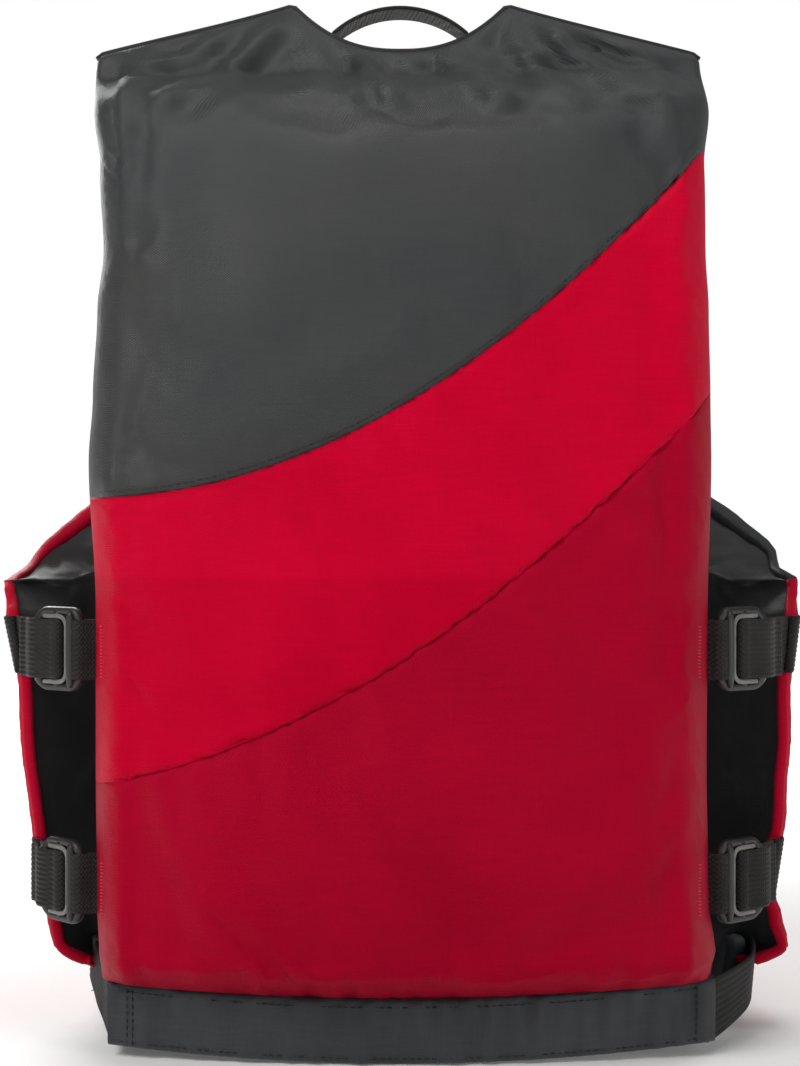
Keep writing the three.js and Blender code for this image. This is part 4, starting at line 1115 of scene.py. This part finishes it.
def front_band(side, sign):
    share = np.linspace(0, 1, 80)
    low = front_hem(share)

    def surface(a, z, depth):
        start, end = zip_edge_angle(z), side_edge_angle(z)
        return front_point(start + a * (end - start), z, depth)

    outer, inner = (to_frame(swell(layer, side)) for layer in band_layer(low, low + BAND, share, surface))
    band = closed_sheet(f"front_waistband_cloth_{side}", outer, inner, BAND_GREY)
    place(band, f"front_{side}", [f"front_waistband_{side}"])
    inset = share[2:-2]
    for label, part in BAND_STITCHES.items():
        line = swell(surface(inset, front_hem(inset) + part * BAND, np.full_like(inset, STITCH_DEPTH)), side)
        row = stitch_row(f"stitch_front_band_{label}_{side}", line, line * (1, 1, 0), BLACK_THREAD)
        place(row, f"front_{side}")


def front(side, sign):
    body = f"front_{side}"
    row = FRONT_SEAM_ROWS[1] if side == "left" else FRONT_SEAM_ROWS[0]
    points = front_shell.copy()
    tuck = np.exp(-(((front_z - front_z[:, row : row + 1]) / 1.8) ** 2)) * smooth(front_zip_gap / 5)
    points -= outward_normals(points, FRONT_OUT) * (FRONT_TUCK * tuck * smooth(front_side_gap / 5))[..., None]
    out = (0.5 * sign, -0.85, 0)
    points = swell(points, side)
    upper = skin(f"front_shell_upper_{side}", points[:, row:], out, CLOTH_THICK, GREY)
    lower = skin(f"front_shell_lower_{side}", points[:, : row + 1], out, CLOTH_THICK, RED)
    place(upper, body, [f"front_upper_panel_{side}"])
    place(lower, body, [f"front_lower_panel_{side}"])
    inwards = (-0.5 * sign, 0.85, 0)
    cover = skin(f"front_lining_cloth_{side}", swell(front_lining, side), inwards, LINING_THICK, LINING)
    place(cover, body, [f"front_lining_{side}"])
    side_binding(side, sign)
    front_band(side, sign)
    normals = outward_normals(points, out)
    for label, column in (("zip", 5), ("zip_second", 7)):
        line = points[column, 2:-2] + normals[column, 2:-2] * 0.1
        thread_material = GREY_THREAD if label == "zip" else BLACK_THREAD
        place(stitch_row(f"stitch_{label}_{side}", line, normals[column, 2:-2], thread_material), body)
    seam = points[4:-4, row + 3] + normals[4:-4, row + 3] * 0.1
    place(stitch_row(f"stitch_front_seam_{side}", seam, normals[4:-4, row + 3], GREY_THREAD), body)


for side, sign in SIDES.items():
    front(side, sign)

# ---- Foam: soft-edged slabs made from the frame's ----

THIN_WING_X = 138  # beyond this the wing's top is thin and holds no foam
THIN_WING_Y = -36
THIN_WING_Z = ARMHOLE_BOTTOM - 9


def foam_slab(node, body, inset, side=None):
    """A copy of the frame's slab with soft edges, drawn in by inset on every side."""
    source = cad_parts[node]
    mesh = source.data.copy()
    obj = bpy.data.objects.new(f"{node}_slab", mesh)
    bpy.context.scene.collection.objects.link(obj)
    mesh.materials.clear()
    mesh.materials.append(FOAM)
    bm = bmesh.new()
    bm.from_mesh(mesh)
    bmesh.ops.remove_doubles(bm, verts=bm.verts, dist=1e-5)
    bmesh.ops.subdivide_edges(bm, edges=bm.edges, cuts=2, use_grid_fill=True)
    for _ in range(3):
        axes = {f"use_axis_{axis}": True for axis in "xyz"}
        bmesh.ops.smooth_vert(bm, verts=bm.verts, factor=0.4, **axes)
    bm.normal_update()
    for vertex, normal in [(v, v.normal.copy()) for v in bm.verts]:
        vertex.co -= normal * inset * MM
        if side:
            x, y, z = abs(vertex.co.x) / MM, vertex.co.y / MM, vertex.co.z / MM
            if x > THIN_WING_X and z > THIN_WING_Z:
                x, y, z = (THIN_WING_X, min(y, THIN_WING_Y), z) if "upper" in node else (x, y, THIN_WING_Z)
            vertex.co = swell(np.array([x, y, z]), side) * MM
    bm.to_mesh(mesh)
    bm.free()
    mesh.polygons.foreach_set("use_smooth", [True] * len(mesh.polygons))
    place(obj, body, [node])


foam_slab("back_foam", "root", 2.2)
for side in SIDES:
    foam_slab(f"front_upper_foam_{side}", f"front_{side}", 4.2, side)
    foam_slab(f"front_lower_foam_{side}", f"front_{side}", 2.4, side)

# ---- Side straps and adjusters ----

BAR = np.array([BACK_HALF_WIDTH + 6, back_inner(BACK_HALF_WIDTH, 0) + EDGE / 2])
STRAP_LEVEL = -(BAR_R + 0.3 + WEBBING_THICK - 0.5)
MIDDLE_LIFT = 0.5  # the middle bar stands this far outwards
WRAP = BAR_R + 0.3 + WEBBING_THICK / 2  # radius of webbing round a bar
ADJUSTER_FRONT = ADJUSTER_LENGTH - 7.2  # the front rail's middle
OVER_RAIL = 4.1  # height of the tail over the front rail
OUTSIDE = 0.6  # height of the strap's sewn end over the wing
TAIL_SHORT = 21  # the tail stops this far before the wing's edge
COVER_BAR = 3.3  # place of the wide bar over the rear one
FRAME_HEM = BAND_TOP + HEM_RISE


class StrapLine:
    """The straight line of one side strap, from its adjuster's rear bar to the wing's edge."""

    def __init__(self, z, side):
        self.z = z
        self.side = side
        self.level = min(z + WEBBING / 2, ARMHOLE_BOTTOM - EDGE_ROLL)
        edge = self.surface(3.3, EDGE + 3.1)
        dx, dy = edge[0] - BAR[0], edge[1] - BAR[1]
        self.reach = math.hypot(dx, dy)
        heading = math.atan2(dy, dx) - math.asin(STRAP_LEVEL / self.reach)
        self.along = np.array([math.cos(heading), math.sin(heading)])
        self.out = np.array([-self.along[1], self.along[0]])

    def surface(self, mm, depth, level=None):
        level = np.array(float(level or self.level))
        angle = step_round(side_edge_angle(level), level, mm)
        base = front_base(angle, level, FRAME_HEM)
        padding = front_thickness(angle, level) if mm <= 0 else 0
        point = front_point(angle, level, base + padding + depth)
        return np.abs(swell(point, self.side)) * np.array([1, np.sign(point[1]), 1])

    def at(self, s, n, w=0.0):
        x, y = BAR + self.along * s + self.out * n
        return (x, y, self.z + w)


def side_strap(line):
    """From the wing's outside, round its edge, under the front rail, round the middle bar, over the rail."""
    places = [(-mm, OUTSIDE) for mm in np.linspace(STRAP_SEWN, 2, 5)]
    places += [(1.6, 4.0), (2.4, 2.2), (1.6, 0.4), (-0.6, -1.3), (-3, -2.2)]
    sewn = []
    for mm, depth in places:
        low, high = (line.surface(mm, depth, line.z + w * WEBBING) for w in (-0.5, 0.5))
        sewn.append((*((low + high) / 2), *unit(high - low)))
    load = [line.at(ADJUSTER_LENGTH, STRAP_LEVEL), line.at(BAR_PITCH + 8, STRAP_LEVEL)]
    turn = [line.at(BAR_PITCH + WRAP * math.cos(a), MIDDLE_LIFT + WRAP * math.sin(a))
            for a in np.radians(np.linspace(-100, -315, 12))]
    tail = STRAP_LEVEL + WEBBING_THICK + 0.3
    over = [line.at(ADJUSTER_FRONT - 2.6, OVER_RAIL), line.at(ADJUSTER_FRONT + 2.6, OVER_RAIL)]
    down = [line.at(ADJUSTER_LENGTH, 1.5), line.at(ADJUSTER_LENGTH + 3, tail + 0.3)]
    rest = over + down + [line.at(max(line.reach - TAIL_SHORT, ADJUSTER_LENGTH + 8), tail)]
    upright = [(*point, 0, 0, 1) for point in load + turn + rest]
    return np.split(evenly(rounded(sewn + upright, 2), 1.4), 2, axis=1)


def strap_loop(z):
    """Webbing sewn into the back's side seam and folded round the adjuster's rear bar."""
    turn = np.radians(np.linspace(118, -118, 15))
    ring = [(BAR[0] + WRAP * math.cos(a), BAR[1] + WRAP * math.sin(a), z) for a in turn]
    root = BACK_HALF_WIDTH - 3
    path = [(root, BAR[1] + 0.8, z), (root + 3, BAR[1] + 0.9, z)] + ring
    return evenly(rounded(path + [(root + 3, BAR[1] - 0.9, z), (root, BAR[1] - 0.8, z)], 1), 0.9)


def adjuster(line, name, sign):
    """A ladder-lock: a moulded ring, round at the rear bar and square at the rails, its bars, and a pale
    strip on its rim whose light grey is a painted highlight.
    """
    outwards = (*line.out, 0.0)

    def moulding(suffix, section, path, across_and_normal, material=PLASTIC, closed=False):
        return mirrored_sweep(name + suffix, section, path, across_and_normal, sign, material, closed)

    half, radius = ADJUSTER_HALF_WIDTH - 1.8, 5.0
    centre = []
    front_s, rear_s = ADJUSTER_FRONT - radius, radius - 0.2
    corners = ((front_s, 1), (rear_s, 1), (rear_s, -1), (front_s, -1))
    for quarter, (cs, up) in enumerate(corners):
        for a in np.radians(np.linspace(quarter * 90, quarter * 90 + 90, 9)):
            centre.append((cs + radius * math.cos(a), up * (half - radius) + radius * math.sin(a)))
    centre = evenly(centre + centre[:1], 1.1)[:-1]
    s, w = centre[:, 0], centre[:, 1]
    rail = smooth((np.abs(w) - (half - 4.2)) / 3.4)
    front_part = smooth((s - (ADJUSTER_FRONT - 5)) / 4) * (1 - rail)
    wide = lerp(lerp(BAR_R, 2.45, front_part), 1.8, rail)
    thick = lerp(lerp(BAR_R, 1.5, front_part), 2.3, rail)
    path = np.array([line.at(a, n, b) for a, n, b in zip(s, 1.7 * front_part, w)])
    section = np.stack([ellipse(t, a, 16, 2 + 0.9 * r) for a, t, r in zip(wide, thick, rail)])
    ring = moulding("", section, path, path_frame(path, outwards, closed=True), closed=True)

    bar = np.array([line.at(BAR_PITCH, MIDDLE_LIFT, b) for b in np.linspace(-half, half, 13)])
    bar_frame = path_frame(bar, outwards)
    middle = moulding("_middle_bar", ellipse(BAR_R, BAR_R, 16, 2.6), bar, bar_frame)

    cover = np.array([line.at(COVER_BAR, 1.9, b) for b in np.linspace(-half, half, 17)])
    tapered = ellipse(2.3, 1.9, 16, 2.6)[None] * (1 - 0.35 * np.linspace(-1, 1, 17) ** 6)[:, None, None]
    top = moulding("_cover_bar", tapered[..., ::-1], cover, (bar_frame[1][:1], bar_frame[0][:1]))

    inner, corner, lip_s = half - 2.2, 4.5, COVER_BAR + 2.5
    bend_in = [(lip_s + corner * (1 - math.cos(a)), inner - corner * (1 - math.sin(a)))
               for a in np.radians(np.linspace(90, 0, 7))]
    end_s = ADJUSTER_FRONT - 4
    rim = [(end_s, inner)] + bend_in + [(a, -b) for a, b in bend_in[::-1]] + [(end_s, -inner)]
    rim_path = evenly([line.at(a, 2.4, b) for a, b in rim], 1.0)
    # The rim strip carries the pale painted highlight along the ring's inner edge.
    edge = moulding("_rim", ellipse(0.6, 1.05, 10), rim_path, path_frame(rim_path, outwards), RIM_HIGHLIGHT_PAINT)
    return ring, middle, top, edge


STRAP = webbing_section(WEBBING, WEBBING_THICK, 12, 0.28)


def strap(name, path, upright, sign):
    """A length of the ribbed webbing, on the side that sign gives."""
    return mirrored_sweep(name, STRAP, path, path_frame(path, upright), sign, WEBBING_BLACK)


def strap_set(level, z, side, sign):
    """One side strap, its adjuster, and the loop that holds the adjuster to the back."""
    label = f"{level}_{side}"
    line = StrapLine(z, side)
    start, end = mirrored(np.array([line.at(line.reach + 2, 0), line.at(ADJUSTER_LENGTH, 0)]), sign)
    webbing = strap(f"side_strap_webbing_{label}", *side_strap(line), sign)
    bend(webbing, start, end, [f"side_strap_{label}"])
    loop = strap(f"strap_loop_webbing_{label}", strap_loop(z), (0, 0, 1), sign)
    place(loop, "root", [f"strap_loop_{label}"])
    ring, *others = adjuster(line, f"ladder_lock_{label}", sign)
    place(ring, f"adjuster_{label}", [f"adjuster_{label}"])
    for other in others:
        place(other, f"adjuster_{label}")


for side, sign in SIDES.items():
    for level, z in STRAP_LEVELS.items():
        strap_set(level, z, side, sign)

# ---- Elastic at the sides of the waistband ----

ELASTIC_BULGE = {"left": 1, "right": 9}  # the slack elastic bows out more on the wearer's right
ELASTIC_LAP = 9  # how far its front end laps over the front band


def elastic(side, sign):
    front_level = np.array(HEM_RISE + BAND / 2.0)
    angle = step_round(side_edge_angle(front_level), front_level, -ELASTIC_LAP)
    far = np.abs(swell(front_point(angle, front_level, EDGE + 3), side)) * np.array([1, -1, 1])
    near = np.array([BAND_HALF_WIDTH + sign * BAND_SHIFT - 2, BAR[1], 0])
    share = np.linspace(0, 1, 24)
    path = near + (far - near) * share[:, None]
    path[:, 2] = lerp(19, 30, share)
    pinch = 1 - 0.05 * np.sin(share * math.pi)
    section = np.stack([webbing_section(h * p, 2.2, 9, 0.3) for h, p in zip(lerp(29, 23, share), pinch)])
    across, normal = path_frame(path, (0, 0, 1))
    path[:, 0] += np.sin(share * math.pi) * ELASTIC_BULGE[side]
    path[:, 1] += np.sin(share * math.pi * 5) * 0.5
    path = mirrored(path, sign)
    name = f"waist_elastic_band_{side}"
    band = sweep(name, section, path, across, mirrored(normal, sign), ELASTIC_BLACK)
    bend(band, path[3], path[-4], [f"waist_elastic_{side}"])


for side, sign in SIDES.items():
    elastic(side, sign)

# ---- Grab loop ----


def grab_loop():
    """A strip of webbing that stands up in an arc between its two sewn legs."""
    at_foot = np.array(float(LOOP_HALF_SPAN))
    foot = float(back_top(at_foot))
    radius = (LOOP_HALF_SPAN**2 + LOOP_RISE**2) / (2 * LOOP_RISE)
    half = math.asin(LOOP_HALF_SPAN / radius)
    y = float(back_inner(at_foot, np.array(foot))) - 0.6 - LOOP_WIDTH / 2
    centre_z = foot + LOOP_RISE - radius
    arch = [(radius * math.sin(a), y, centre_z + radius * math.cos(a)) for a in np.linspace(-half, half, 24)]
    left, right = ([(s * (LOOP_HALF_SPAN + out), y, foot - down) for out, down in ((1, 12), (0.6, 4))]
                   for s in (-1, 1))
    path = evenly(rounded(left + arch + right[::-1], 1), 1.5)
    section = webbing_section(LOOP_WIDTH, 1.8, 9)
    loop = sweep("grab_loop_webbing", section, path, *path_frame(path, OUT), WEBBING_BLACK)
    bend(loop, (0, y, foot - 10), (0, y, foot + 6), ["grab_loop"])


grab_loop()

# ---- Zip tapes, belt, and the moulded fittings ----


def belt_path(x0):
    points = [(x0, -(HALF_DEPTH + BELT_STANDOFF), BELT_Z)]
    for step in (0.35, 0.6, 0.8, 1):
        x = lerp(x0, BELT_SEWN_X, step)
        level = np.array(float(BELT_Z))
        angle = angle_at_x(np.array(x), level)
        p = front_point(angle, level, front_thickness(angle, level) + WEBBING_THICK / 2 + 0.6)
        points.append((p[0], min(p[1], lerp(points[0][1], p[1], step**2)), BELT_Z))
    return evenly(rounded(points, 2), 1.6)


BUCKLE_END = {"left": 28, "right": 48}  # where each belt leaves its half of the buckle
TAPE_X = 13.5
TAPE_LOW = 30


def zip_tape(side, sign):
    path = np.array([(TAPE_X, CHAIN_Y, z) for z in np.linspace(TAPE_LOW, ZIP_TOP - 0.3, 40)])
    section = webbing_section(11, 1.0, 7, 0.12)
    tape = mirrored_sweep(f"zip_tape_cloth_{side}", section, path, path_frame(path, (1, 0, 0)), sign, TAPE)
    place(tape, f"front_{side}", [f"zip_tape_{side}"])


for side, sign in SIDES.items():
    zip_tape(side, sign)
    belt = strap(f"belt_webbing_{side}", belt_path(BUCKLE_END[side] - 1.5), (0, 0, 1), sign)
    place(belt, f"front_{side}", [f"belt_{side}"])


# The frame's own mouldings that are kept, and the radius of their softened edges
MOULDED = {"zip_teeth_left": 0.2, "zip_teeth_right": 0.2, "zip_retaining_box": 0.4, "zip_insertion_pin": 0.4,
           "zip_slider": 0.35, "zip_pull": 0.3, "buckle_female": 0.7, "buckle_male": 0.7,
           "buckle_arm_upper": 0.5, "buckle_arm_lower": 0.5}


def moulded(node, width):
    """Keeps a CAD node, with softened edges and the moulded plastic on it."""
    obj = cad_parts[node]
    obj.data.materials.clear()
    obj.data.materials.append(PLASTIC)
    weld = obj.modifiers.new("weld", "WELD")
    weld.merge_threshold = 1e-5
    bevel = obj.modifiers.new("bevel", "BEVEL")
    bevel.width = width * MM
    bevel.segments = 2
    bevel.limit_method = "ANGLE"
    bevel.angle_limit = math.radians(32)
    bevel.harden_normals = True


for node, width in MOULDED.items():
    moulded(node, width)

# ---- Studio, in metres ----

FLOOR_HALF = 6.0
FLOOR_DROP = 0.0002
AIM = Vector((0, 0, 0.23))  # what the lights point at
LIGHTS = {  # place, size, power in watts
    "key": ((1.0, 1.2, 1.5), 0.9, 24),
    "fill": ((-1.3, 1.4, 0.6), 1.2, 8),
    "front": ((0.6, -1.8, 1.2), 1.2, 38),
    "top": ((-0.3, 0.3, 1.9), 0.8, 8),
}
SURROUND_LIGHT = 0.2  # what the white surround gives the vest
SURROUND_SEEN = 1.0  # how bright it is behind the vest
CAMERA_PLACE = (0, 0.917, 0.2215)
CAMERA_LENS = 67.7  # mm, on a sensor 36 mm high


def paper_floor():
    """Pale paper that glows a little more away from the vest, so that it runs into the white surround."""
    mesh = bpy.data.meshes.new("floor")
    corners = [(x * FLOOR_HALF, y * FLOOR_HALF, 0) for x, y in ((-1, -1), (1, -1), (1, 1), (-1, 1))]
    mesh.from_pydata(corners, [], [(0, 1, 2, 3)])
    floor = bpy.data.objects.new("floor", mesh)
    floor.location.z = -FLOOR_DROP
    bpy.context.scene.collection.objects.link(floor)
    s = Shader("floor_paper")
    grain = s.noise(300, detail=3)
    x, y, _ = s.axes()
    away = s.maths("SQRT", s.maths("ADD", s.maths("MULTIPLY", x, x), s.maths("MULTIPLY", y, y)))
    s.set(Base_Color=s.mix(grain, srgb(244, 244, 243), srgb(238, 238, 237)), Roughness=0.85,
          Emission_Strength=s.spread(away, 0.3, 1.2, 0.06, 0.84))
    mesh.materials.append(s.material)


def surround():
    """A white world, brighter to the camera than it is as a light."""
    world = bpy.data.worlds.new("studio")
    world.use_nodes = True
    background = world.node_tree.nodes["Background"]
    background.inputs["Color"].default_value = (1, 1, 1, 1)
    rays = world.node_tree.nodes.new("ShaderNodeLightPath")
    strength = world.node_tree.nodes.new("ShaderNodeMapRange")
    strength.inputs["To Min"].default_value = SURROUND_LIGHT
    strength.inputs["To Max"].default_value = SURROUND_SEEN
    world.node_tree.links.new(rays.outputs["Is Camera Ray"], strength.inputs["Value"])
    world.node_tree.links.new(strength.outputs[0], background.inputs["Strength"])
    bpy.context.scene.world = world


def lamps():
    for name, (where, size, power) in LIGHTS.items():
        light = bpy.data.lights.new(name, "AREA")
        light.size = size
        light.energy = power
        lamp = bpy.data.objects.new(name, light)
        lamp.location = where
        lamp.rotation_euler = (AIM - Vector(where)).to_track_quat("-Z", "Y").to_euler()
        bpy.context.scene.collection.objects.link(lamp)


def photo_camera():
    data = bpy.data.cameras.new("camera")
    data.lens = CAMERA_LENS
    data.sensor_width = 36
    data.clip_start = 0.05
    camera = bpy.data.objects.new("camera", data)
    camera.location = CAMERA_PLACE
    camera.rotation_euler = (math.pi / 2, 0, math.pi)
    bpy.context.scene.collection.objects.link(camera)
    bpy.context.scene.camera = camera


paper_floor()
surround()
lamps()
photo_camera()
bpy.context.scene.view_settings.view_transform = "Standard"
